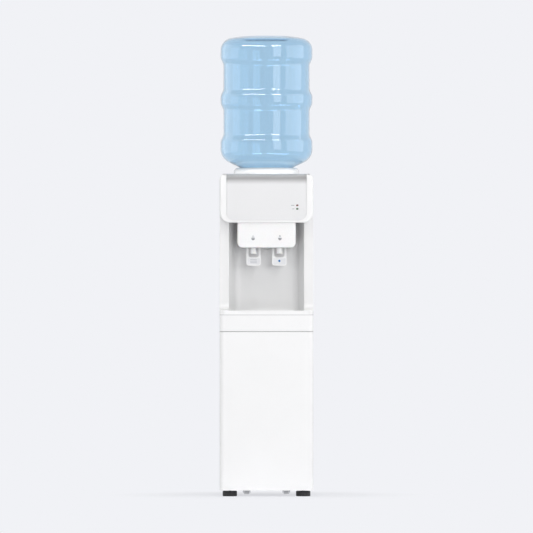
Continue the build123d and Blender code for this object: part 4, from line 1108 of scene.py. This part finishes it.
@dataclass
class Head:
    """Bezel, fascia with its lamps, and the nozzle housing with its two drop marks.

    Attributes:
        roll: height of the fascia's rolled top.
        roll_shade: share of the roll, from the top down, at which its painted shade is darkest.
        glow: strength of the light in a lamp.
        drop_width: width of a drop mark.
        drop_height: height of a drop mark.
        drop_belly: share of its width on each side before the taper.
        drop_taper: how thin the drop's tip is drawn out.
        drop_x: place of the drop marks to each side of the middle.
        drop_z: height of their middle.
        drop_steps: points of a drop's outline.
        ink_changes: heights over the middle where the ambient and cold inks change, as shares.
        ink_fade: height over which the ambient mark's ink changes.
        ink_stripe: half the height of the cold mark's bare stripe.
        dash_widths: lengths of the dashes beside the lamps.
        dash_height: height of a dash.
        dash_gap: space between dash and lamp.
        print_depth: how far a mark stands out of the face and reaches into it.
        print_edge: width of the round on a mark's edge.
    """

    roll: float = 0.033
    roll_shade: float = 0.43
    glow: float = 0.03
    drop_width: float = 0.0115
    drop_height: float = 0.0165
    drop_belly: float = 0.6
    drop_taper: float = 1.3
    drop_x: float = 0.0395
    drop_z: float = 0.7615
    drop_steps: int = 36
    ink_changes: Point2 = (-0.1, 0.06)
    ink_fade: float = 0.0022
    ink_stripe: float = 0.0011
    dash_widths: Point2 = (0.0095, 0.0065)
    dash_height: float = 0.0018
    dash_gap: float = 0.004
    print_depth: float = 0.00012
    print_edge: float = 0.00005

    def build(self) -> None:
        """Dresses the head and adds its marks."""
        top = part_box("fascia_panel")[1].z
        # The fascia's rolled top gets painted shade: a darker band that eases at the top edge.
        fascia = FasciaMoulding("fascia_grey", tone(223, 223, 224), 0.3, rub=0.0, dust=0.0,
                                shadow=tone(157, 157, 158), crest_shade=tone(204, 204, 205),
                                roll_base=top - self.roll, roll_top=top,
                                roll_dark=top - self.roll_shade * self.roll)
        dress(Finishes.shell, "head_bezel")
        dress(fascia, "fascia_panel")
        dress(Finishes.tap, "nozzle_housing")
        dress(Finishes.board, "lamp_board")
        self.lamps()
        self.drops()

    def mark(self, name: str, outline: Sequence[Point2], face: float,
             finish: Finish) -> None:
        """Adds a printed mark.

        Args:
            name: the mark's name.
            outline: its (x, z) points.
            face: y of the face that it is printed on.
            finish: its finish.
        """
        mesh = prism(name, outline, face - self.print_depth, face + self.print_depth,
                     self.print_edge)
        piece(name, mesh, "cabinet", finish)

    def lamps(self) -> None:
        """Lenses of the lamps and a dash beside each."""
        colours = {"power_lamp": tone(96, 12, 18), "cooling_lamp": tone(26, 84, 26)}
        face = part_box("fascia_panel")[0].y
        for (name, colour), width in zip(colours.items(), self.dash_widths):
            low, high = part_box(name)
            middle = (low + high) / 2
            dress(LampLens(name + "_lens", colour, self.glow, tuple(middle)), name)
            x = low.x - self.dash_gap - width / 2
            self.mark(name + "_dash", pill((x, middle.z), width, self.dash_height), face,
                      Finishes.dash)

    def drop_outline(self, x: float) -> list[Point2]:
        """Outline of a water drop with its tip up.

        Args:
            x: place of its middle.

        Returns:
            The outline's points.
        """
        outline = []
        for step in range(self.drop_steps):
            turn = 2 * math.pi * step / self.drop_steps
            reach = self.drop_belly * math.sin(turn) * abs(math.sin(turn / 2)) ** self.drop_taper
            outline.append((x + self.drop_width * reach,
                            self.drop_z + self.drop_height / 2 * math.cos(turn)))
        return outline

    def drops(self) -> None:
        """Printed drop marks over the taps."""
        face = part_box("nozzle_housing")[0].y
        lower = tone(146, 147, 150)
        changes = [self.drop_z + share * self.drop_height for share in self.ink_changes]
        inks = {"ambient": PrintedMark("ambient_ink", tone(200, 201, 203), lower, changes[0],
                                       blur=self.ink_fade),
                "cold": PrintedMark("cold_ink", tone(150, 152, 156), lower, changes[1],
                                    stripe=self.ink_stripe)}
        for (tap, ink), side in zip(inks.items(), (-1, 1)):
            self.mark(tap + "_drop", self.drop_outline(side * self.drop_x), face, ink)


@dataclass
class Taps:
    """Tap bodies, plungers, springs, paddles and the lines pressed into the ambient paddle.

    Attributes:
        dot_proud: how far the dot stands out of its paddle's dish.
        line_count: number of pressed lines.
        line_length: length of each.
        line_height: height of each.
        line_pitch: distance between them.
        line_rise: height of the lowest over the paddle's lower end.
        line_proud: how far they stand out of the dish.
        line_sunk: how far they reach into it.
        line_edge: width of the round on their edge.
    """

    dot_proud: float = 0.0003
    line_count: int = 3
    line_length: float = 0.020
    line_height: float = 0.0012
    line_pitch: float = 0.0042
    line_rise: float = 0.0085
    line_proud: float = 0.0003
    line_sunk: float = 0.0002
    line_edge: float = 0.0001

    def build(self) -> None:
        """Dresses the taps and adds the lines."""
        for side in ("ambient", "cold"):
            dress(Finishes.tap, side + "_tap_body", side + "_plunger")
            dress(self.paddle_finish(side), side + "_paddle")
            dress(Finishes.stainless, side + "_spring")
        dress(Finishes.stainless, "paddle_pins")
        dress(Finishes.dot, "cold_dot")
        self.lines()

    def paddle_finish(self, side: str) -> DishedMoulding:
        """Finish of the ambient or cold paddle, with painted shade making its dish greyer than its
        border.
        """
        return DishedMoulding(side + "_paddle_white", tone(252, 252, 252), 0.3, rub=0.3,
                              dish_shade=tone(234, 235, 237), field_y=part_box("cold_dot")[1].y)

    def lines(self) -> None:
        """Raised lines on the ambient paddle's dish."""
        low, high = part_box("ambient_paddle")
        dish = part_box("cold_dot")[0].y + self.dot_proud
        for row in range(self.line_count):
            middle = ((low.x + high.x) / 2, low.z + self.line_rise + row * self.line_pitch)
            name = f"paddle_line_{row + 1}"
            mesh = prism(name, pill(middle, self.line_length, self.line_height),
                         dish - self.line_proud, dish + self.line_sunk, self.line_edge)
            piece(name, mesh, "ambient_paddle", Finishes.emboss)


@dataclass
class DripTray:
    """Tray and grille."""

    def build(self) -> None:
        """Dresses the tray."""
        dress(Finishes.tray, "drip_tray")
        dress(Finishes.grille, "drip_grille")


@dataclass
class WaterBottle:
    """Clear ribbed bottle, upside down in its collar, with the pieces of its seat.

    Attributes:
        rings: number of rings.
        ring_radius: radius of the rings.
        waist_radius: radius between them.
        ring_flat: height of a ring's flat.
        ring_slope: height over which a ring falls to the waist.
        ring_pitch: distance between rings.
        ring_rise: lowest ring's height over the collar.
        ring_blend: radius of the bend at each end of a ring's slope.
        corner_blend: radius of the corners at the base and neck.
        crown_angle: fall of the base round the rim, in degrees.
        crown_radius: radius of the base's corner.
        rim_radius: radius of the standing rim.
        punt_radius: radius of the recess in the base.
        punt_depth: its depth.
        shoulder_angle: slope of the shoulder, in degrees.
        shoulder_radius: radius of the shoulder's corner.
        neck_radius: radius of the neck.
        neck_length: length of the neck.
        wall: thickness of the wall.
        steps: sides of each ring of the mesh.
        arc_steps: pieces of each bend.
    """

    rings: int = 3
    ring_radius: float = 0.136
    waist_radius: float = 0.1275
    ring_flat: float = 0.024
    ring_slope: float = 0.018
    ring_pitch: float = 0.134
    ring_rise: float = 0.0675
    ring_blend: float = 0.022
    corner_blend: float = 0.005
    crown_angle: float = 10.0
    crown_radius: float = 0.036
    rim_radius: float = 0.074
    punt_radius: float = 0.060
    punt_depth: float = 0.012
    shoulder_angle: float = 25.0
    shoulder_radius: float = 0.043
    neck_radius: float = 0.026
    neck_length: float = 0.054
    wall: float = 0.0016
    steps: int = 192
    arc_steps: int = 10

    def build(self) -> None:
        """Makes the bottle and dresses its seat."""
        low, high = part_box("bottle")
        profile = self.side(0.0, low.z, high.z) + self.side(self.wall, low.z, high.z)[::-1]
        mesh = lathe("water_bottle", profile, self.steps)
        bottle = piece("water_bottle", mesh, "bottle", Finishes.bottle)
        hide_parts("bottle")
        dress(Finishes.cap, "bottle_cap")
        dress(Finishes.collar, "bottle_collar")
        dress(Finishes.tray, "bottle_funnel")
        dress(Finishes.probe, "bottle_probe")

    def side(self, inset: float, neck_end: float, top: float) -> list[Point2]:
        """One side of the wall, from the axis down to the neck's end.

        Args:
            inset: how far it lies inside the outer side.
            neck_end: height of the neck's end.
            top: height of the rim.

        Returns:
            The (radius, height) points.
        """
        ring = self.ring_radius - inset
        waist = self.waist_radius - inset
        neck = self.neck_radius - inset
        half = self.ring_flat / 2
        slope = math.tan(math.radians(self.shoulder_angle))
        neck_root = neck_end + self.neck_length
        lift = inset / math.cos(math.radians(self.shoulder_angle))
        peak = top - inset
        crown = peak - (ring - self.rim_radius) * math.tan(math.radians(self.crown_angle))
        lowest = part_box("bottle_collar")[1].z + self.ring_rise
        heights = [lowest + row * self.ring_pitch for row in range(self.rings)]
        points = [(0.0, peak - self.punt_depth), (self.punt_radius, peak - self.punt_depth),
                  (self.rim_radius, peak), (ring, crown)]
        radii = [self.corner_blend, self.corner_blend, self.crown_radius - inset]
        for upper, lower in zip(heights[::-1], heights[-2::-1]):
            points += [(ring, upper - half), (waist, upper - half - self.ring_slope),
                       (waist, lower + half + self.ring_slope), (ring, lower + half)]
            radii += [self.ring_blend] * 4
        points += [(ring, neck_root + (ring - self.neck_radius) * slope + lift),
                   (neck, neck_root + (neck - self.neck_radius) * slope + lift), (neck, neck_end)]
        radii += [self.shoulder_radius - inset, self.corner_blend + inset]
        return rounded_path(points, radii, self.arc_steps)


@dataclass
class ColdCircuit:
    """Tank, foam, compressor, pipes and hoses inside the cabinet."""

    def build(self) -> None:
        """Dresses what stands inside."""
        dress(Finishes.stainless, "cold_tank")
        dress(Finishes.cap, "tank_baffle")
        dress(Finishes.aluminium, "evaporator")
        dress(Finishes.foam, "insulation_front", "insulation_rear")
        dress(Finishes.zinc, "tank_shelf")
        dress(Finishes.hose, "cold_hose", "ambient_hose", "drain_pipe")
        dress(Finishes.control, "thermostat")
        dress(Finishes.black_coat, "compressor")
        dress(Finishes.rubber, "compressor_mounts")
        dress(Finishes.copper, "filter_drier", "capillary_tube", "discharge_pipe", "suction_pipe")


@dataclass
class Back:
    """Condenser, screws, switch, cord gland and drain cap.

    Attributes:
        screw_counts: columns and rows of screws.
        screw_head: radius of a screw's head.
        cross: length of its cross recess.
        blade: width of the recess's arms.
        cross_depth: half the thickness of the dark cross of painted shade.
        wire_columns: number of wires on the condenser.
        wire_reach: distance of the outermost wire from the middle.
        wire_depth: thickness of a wire.
        wire_overhang: how far the wires run past the tube.
        tube_rows: number of the tube's level runs.
        tube_pitch: distance between them.
        bead_radius: radius of a weld bead.
        bead_shape: its (radius, height) points as shares of that radius.
        bead_sides: sides of a bead.
        louvre_counts: columns and rows of louvres.
        louvre_span: distances between the outermost, across and up.
        louvre_middle: height of their middle.
        lip_length: length of a louvre's lip.
        lip_height: height of the lip.
        lip_proud: how far it stands out.
        lip_edge: width of the round on its edge.
        lip_rise: its height over the middle of the louvre's slot.
    """

    screw_counts: tuple[int, int] = (2, 4)
    screw_head: float = 0.004
    cross: float = 0.0042
    blade: float = 0.0009
    cross_depth: float = 0.0002
    wire_columns: int = 24
    wire_reach: float = 0.07868
    wire_depth: float = 0.0016
    wire_overhang: float = 0.010
    tube_rows: int = 11
    tube_pitch: float = 0.056
    bead_radius: float = 0.0014
    bead_shape: tuple[Point2, ...] = ((0.0, -0.6), (0.75, -0.4), (1.0, 0.0), (0.75, 0.4),
                                      (0.0, 0.6))
    bead_sides: int = 8
    louvre_counts: tuple[int, int] = (2, 9)
    louvre_span: Point2 = (0.058, 0.096)
    louvre_middle: float = 0.168
    lip_length: float = 0.047
    lip_height: float = 0.0018
    lip_proud: float = 0.0022
    lip_edge: float = 0.0006
    lip_rise: float = 0.0034

    def build(self) -> None:
        """Dresses the back and adds the painted shade of the screw recesses, weld beads and louvre
        lips.
        """
        dress(Finishes.black_coat, "condenser")
        dress(Finishes.zinc, "condenser_brackets")
        dress(Finishes.screw, "rear_screws")
        dress(Finishes.switch, "switch_frame", "switch_rocker", "drain_cap")
        dress(Finishes.rubber, "cord_gland")
        self.recesses()
        self.beads()
        self.lips()

    def spread(self, name: str, shape: bpy.types.Mesh, counts: tuple[int, int], span: Point2,
               centre: Point3, slot: str, finish: Finish, smooth: bool = False) -> None:
        """Adds a piece of copies of a shape in columns and rows over the back.

        Args:
            name: the piece's name.
            shape: the mesh to copy.
            counts: number of columns and of rows.
            span: distances between the outermost copies, across and up.
            centre: middle of the copies.
            slot: not used.
            finish: their finish.
            smooth: whether their faces shade smoothly.
        """
        carrier = link(name + "_shape", shape)
        values = {"Shape": carrier, "Columns": counts[0], "Rows": counts[1], "Width": span[0],
                  "Height": span[1], "Centre": centre}
        mesh = GridOfCopies.grow(name, finish, values)
        bpy.data.objects.remove(carrier)
        piece(name, mesh, "cabinet", finish, smooth)

    def beads(self) -> None:
        """Weld beads where the wires cross the condenser's tube."""
        low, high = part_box("condenser")
        profile = [(self.bead_radius * x, self.bead_radius * z) for x, z in self.bead_shape]
        bead = lathe("bead", profile, self.bead_sides)
        bead.transform(Matrix.Rotation(math.pi / 2, 4, "X"))
        rise = (self.tube_rows - 1) * self.tube_pitch
        centre = ((low.x + high.x) / 2, high.y - self.wire_depth,
                  high.z - self.wire_overhang - rise / 2)
        self.spread("weld_beads", bead, (self.wire_columns, self.tube_rows),
                    (2 * self.wire_reach, rise), centre, "condenser_black", Finishes.black_coat,
                    smooth=True)

    def lips(self) -> None:
        """Pressed lips over the slots of the rear panel."""
        outline = pill((0.0, 0.0), self.lip_length, self.lip_height, steps=4)
        lip = prism("lip", outline, -self.lip_proud, 0.0, self.lip_edge)
        lip.transform(Matrix.Rotation(math.pi, 4, "Z"))
        centre = (0.0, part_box("rear_panel")[1].y, self.louvre_middle + self.lip_rise)
        self.spread("louvre_lips", lip, self.louvre_counts, self.louvre_span, centre,
                    "painted_steel", Finishes.steel_coat)

    def cross_outline(self) -> list[Point2]:
        """Outline of a cross.

        Returns:
            The outline's points.
        """
        half = self.cross / 2
        arm = self.blade / 2
        quarter = [(arm, half), (arm, arm), (half, arm)]
        outline = []
        for turn in range(4):
            spin = Matrix.Rotation(-turn * math.pi / 2, 2)
            outline += [tuple(spin @ Vector(point)) for point in quarter]
        return outline

    def recesses(self) -> None:
        """Dark crosses of painted shade that stand in for the cross recesses in the heads of the
        rear screws.
        """
        low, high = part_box("rear_screws")
        cross = prism("cross_mark", self.cross_outline(), self.cross_depth, -self.cross_depth, 0.0)
        span = (high.x - low.x - 2 * self.screw_head, high.z - low.z - 2 * self.screw_head)
        centre = ((low.x + high.x) / 2, high.y, (low.z + high.z) / 2)
        self.spread("screw_recesses", cross, self.screw_counts, span, centre, "screw_steel",
                    Finishes.recess_shade)


@dataclass
class Undercarriage:
    """Levelling feet with grip ribs, and the rear rollers.

    Attributes:
        rib_count: ribs round a foot.
        rib_radius: radius of a rib.
        rib_height: height of a rib.
        rib_middle: height of its middle over the foot's lower face.
        rib_sunk: share of its radius by which its middle lies inside the foot.
    """

    rib_count: int = 30
    rib_radius: float = 0.0009
    rib_height: float = 0.0105
    rib_middle: float = 0.0025
    rib_sunk: float = 0.75

    def build(self) -> None:
        """Dresses the feet and rollers and adds the ribs."""
        dress(Finishes.rubber, "left_foot", "right_foot")
        dress(Finishes.nylon, "left_roller", "right_roller")
        dress(Finishes.stainless, "roller_axles")
        dress(Finishes.zinc, "roller_brackets")
        for side in ("left", "right"):
            self.ribs(side)

    def ribs(self, side: str) -> None:
        """Grip ribs round one foot.

        Args:
            side: left or right.
        """
        low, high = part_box(side + "_foot")
        name = side + "_foot_ribs"
        values = {"Count": self.rib_count,
                  "Ring radius": (high.x - low.x) / 2 - self.rib_radius * self.rib_sunk,
                  "Rib radius": self.rib_radius, "Rib height": self.rib_height,
                  "Centre": ((low.x + high.x) / 2, (low.y + high.y) / 2, low.z + self.rib_middle)}
        mesh = RingOfRibs.grow(name, Finishes.rubber, values)
        piece(name, mesh, side + "_foot", Finishes.rubber)


# ---------------- Studio ----------------
@dataclass
class Studio:
    """Floor, lights, background and camera.

    Attributes:
        background: colour behind the object.
        frame_width: width seen at the object.
        frame_middle: height at the picture's middle.
        distance: distance of the camera.
        sensor: width of its sensor, in millimetres.
        ambient: strength of the even light.
        floor_radius: radius of the floor.
        floor_glow: light that the floor gives off under and round the object.
        glow_reach: distances from the middle over which that light fades.
        shadow: share of the object's shadow that the floor keeps.
        shadow_reach: distances from the middle over which the shadow fades.
    """

    background: Colour = tone(241, 242, 246)
    frame_width: float = 1.567
    frame_middle: float = 0.6762
    distance: float = 25.0
    sensor: float = 36.0
    ambient: float = 0.26
    floor_radius: float = 8.0
    floor_glow: float = 0.2
    glow_reach: Point2 = (0.2, 0.6)
    shadow: float = 0.3
    shadow_reach: Point2 = (0.16, 0.5)

    def build(self) -> None:
        """Sets up the studio."""
        bpy.context.scene.view_settings.view_transform = "Standard"
        self.world()
        self.floor()
        self.light("front_box", (1.9, -3.7, 2.6), (1.6, 4.6), 2.0)
        self.light("side_box", (3.0, -0.6, 1.5), (3.2, 2.8), 1.25)
        self.light("fill_box", (-3.0, 0.9, 1.4), (4.0, 2.6), 0.55)
        self.light("line_box", (-1.65, -2.27, 3.0), (3.6, 0.35), 18.0, lit=False)
        self.light("glint_box", (1.25, -2.6, 3.0), (1.3, 0.35), 22.0, lit=False)
        self.light("top_light", (-1.0, -2.1, 3.4), (3.0, 0.5), 6.0, mirrored=False)
        self.light("key_light", (1.3, -4.7, 1.8), (1.2, 2.8), 3.3, mirrored=False)
        self.light("soft_light", (-3.6, -3.4, 1.6), (1.6, 1.6), 4.0, mirrored=False)
        self.light("near_light", (0.2, -6.0, 1.0), (0.6, 0.5), 36.0, mirrored=False)
        self.camera()

    def seen(self, graph: Graph) -> Socket:
        """1 where a ray comes from the camera, a reflection or a clear wall.

        Args:
            graph: the nodes to add to.

        Returns:
            The mask's socket.
        """
        path = graph.add("ShaderNodeLightPath").outputs
        either = graph.math("MAXIMUM", path["Is Camera Ray"], path["Is Glossy Ray"])
        return graph.math("MAXIMUM", either, path["Is Transmission Ray"])

    def world(self) -> None:
        """Even light, with the plain background where it is seen."""
        world = bpy.data.worlds.new("studio")
        bpy.context.scene.world = world
        graph = Graph.of(world)
        even = graph.add("ShaderNodeBackground", {"Color": tone(255, 254, 252),
                                                  "Strength": self.ambient})
        plain = graph.add("ShaderNodeBackground", {"Color": self.background, "Strength": 1.0})
        mixed = graph.add("ShaderNodeMixShader", {0: self.seen(graph), 1: even.outputs[0],
                                                  2: plain.outputs[0]})
        graph.add("ShaderNodeOutputWorld", {"Surface": mixed.outputs[0]})

    def floor(self) -> None:
        """Pale floor that keeps the object's shadow and fades into the background."""
        mesh = bpy.data.meshes.new("floor")
        work = bmesh.new()
        bmesh.ops.create_circle(work, cap_ends=True, segments=96, radius=self.floor_radius)
        work.to_mesh(mesh)
        work.free()
        material = bpy.data.materials.new("floor_pale")
        graph = Graph.of(material)
        reach = graph.add("ShaderNodeVectorMath", {0: graph.place()}, operation="LENGTH")
        away = reach.outputs["Value"]
        seen = self.seen(graph)
        near = graph.remap(away, *self.shadow_reach, self.shadow, 0.0)
        share = graph.product(seen, graph.math("SUBTRACT", 1.0, near))
        strength = graph.product(graph.math("SUBTRACT", 1.0, seen),
                                 graph.remap(away, *self.glow_reach, self.floor_glow, 0.0))
        lit = graph.add("ShaderNodeBsdfDiffuse", {"Color": self.background})
        glow = graph.add("ShaderNodeEmission", {"Color": self.background, "Strength": strength})
        both = graph.add("ShaderNodeAddShader", {0: lit.outputs[0], 1: glow.outputs[0]})
        plain = graph.add("ShaderNodeEmission", {"Color": self.background, "Strength": 1.0})
        mixed = graph.add("ShaderNodeMixShader", {0: share, 1: both.outputs[0],
                                                  2: plain.outputs[0]})
        graph.add("ShaderNodeOutputMaterial", {"Surface": mixed.outputs[0]})
        mesh.materials.append(material)
        floor = link("floor", mesh)

    def light(self, name: str, place: Point3, size: Point2, glow: float, mirrored: bool = True,
              lit: bool = True) -> None:
        """Adds a soft light aimed at the object's middle.

        Args:
            name: the light's name.
            place: where it hangs.
            size: its width and height.
            glow: brightness of its face.
            mirrored: whether glossy and clear surfaces show it.
            lit: whether it lights matt surfaces too.
        """
        lamp = bpy.data.lights.new(name, "AREA")
        lamp.shape = "RECTANGLE"
        lamp.size, lamp.size_y = size
        lamp.energy = glow * math.pi * size[0] * size[1]
        holder = link(name, lamp)
        holder.location = place
        aim = Vector((0.0, 0.0, self.frame_middle)) - Vector(place)
        holder.rotation_euler = aim.to_track_quat("-Z", "Y").to_euler()
        holder.visible_glossy = mirrored
        holder.visible_transmission = mirrored
        holder.visible_diffuse = lit

    def camera(self) -> None:
        """Level camera straight in front, far off behind a long lens."""
        data = bpy.data.cameras.new("camera")
        data.sensor_width = self.sensor
        data.lens = self.sensor * self.distance / self.frame_width
        data.clip_end = 4 * self.distance
        holder = link("camera", data)
        holder.location = (0.0, CAD_BOX[0][1] - self.distance, self.frame_middle)
        holder.rotation_euler = (math.pi / 2, 0.0, 0.0)
        bpy.context.scene.camera = holder


def main() -> None:
    """Builds each sub-assembly and the studio in order."""
    logging.basicConfig(level=logging.INFO, format="%(name)s %(message)s")
    parts = (Cabinet(), Head(), Taps(), DripTray(), WaterBottle(), ColdCircuit(), Back(),
             Undercarriage(), Studio())
    for part in parts:
        part.build()
        log.info("%s built", type(part).__name__)


if __name__ == "__main__":
    main()
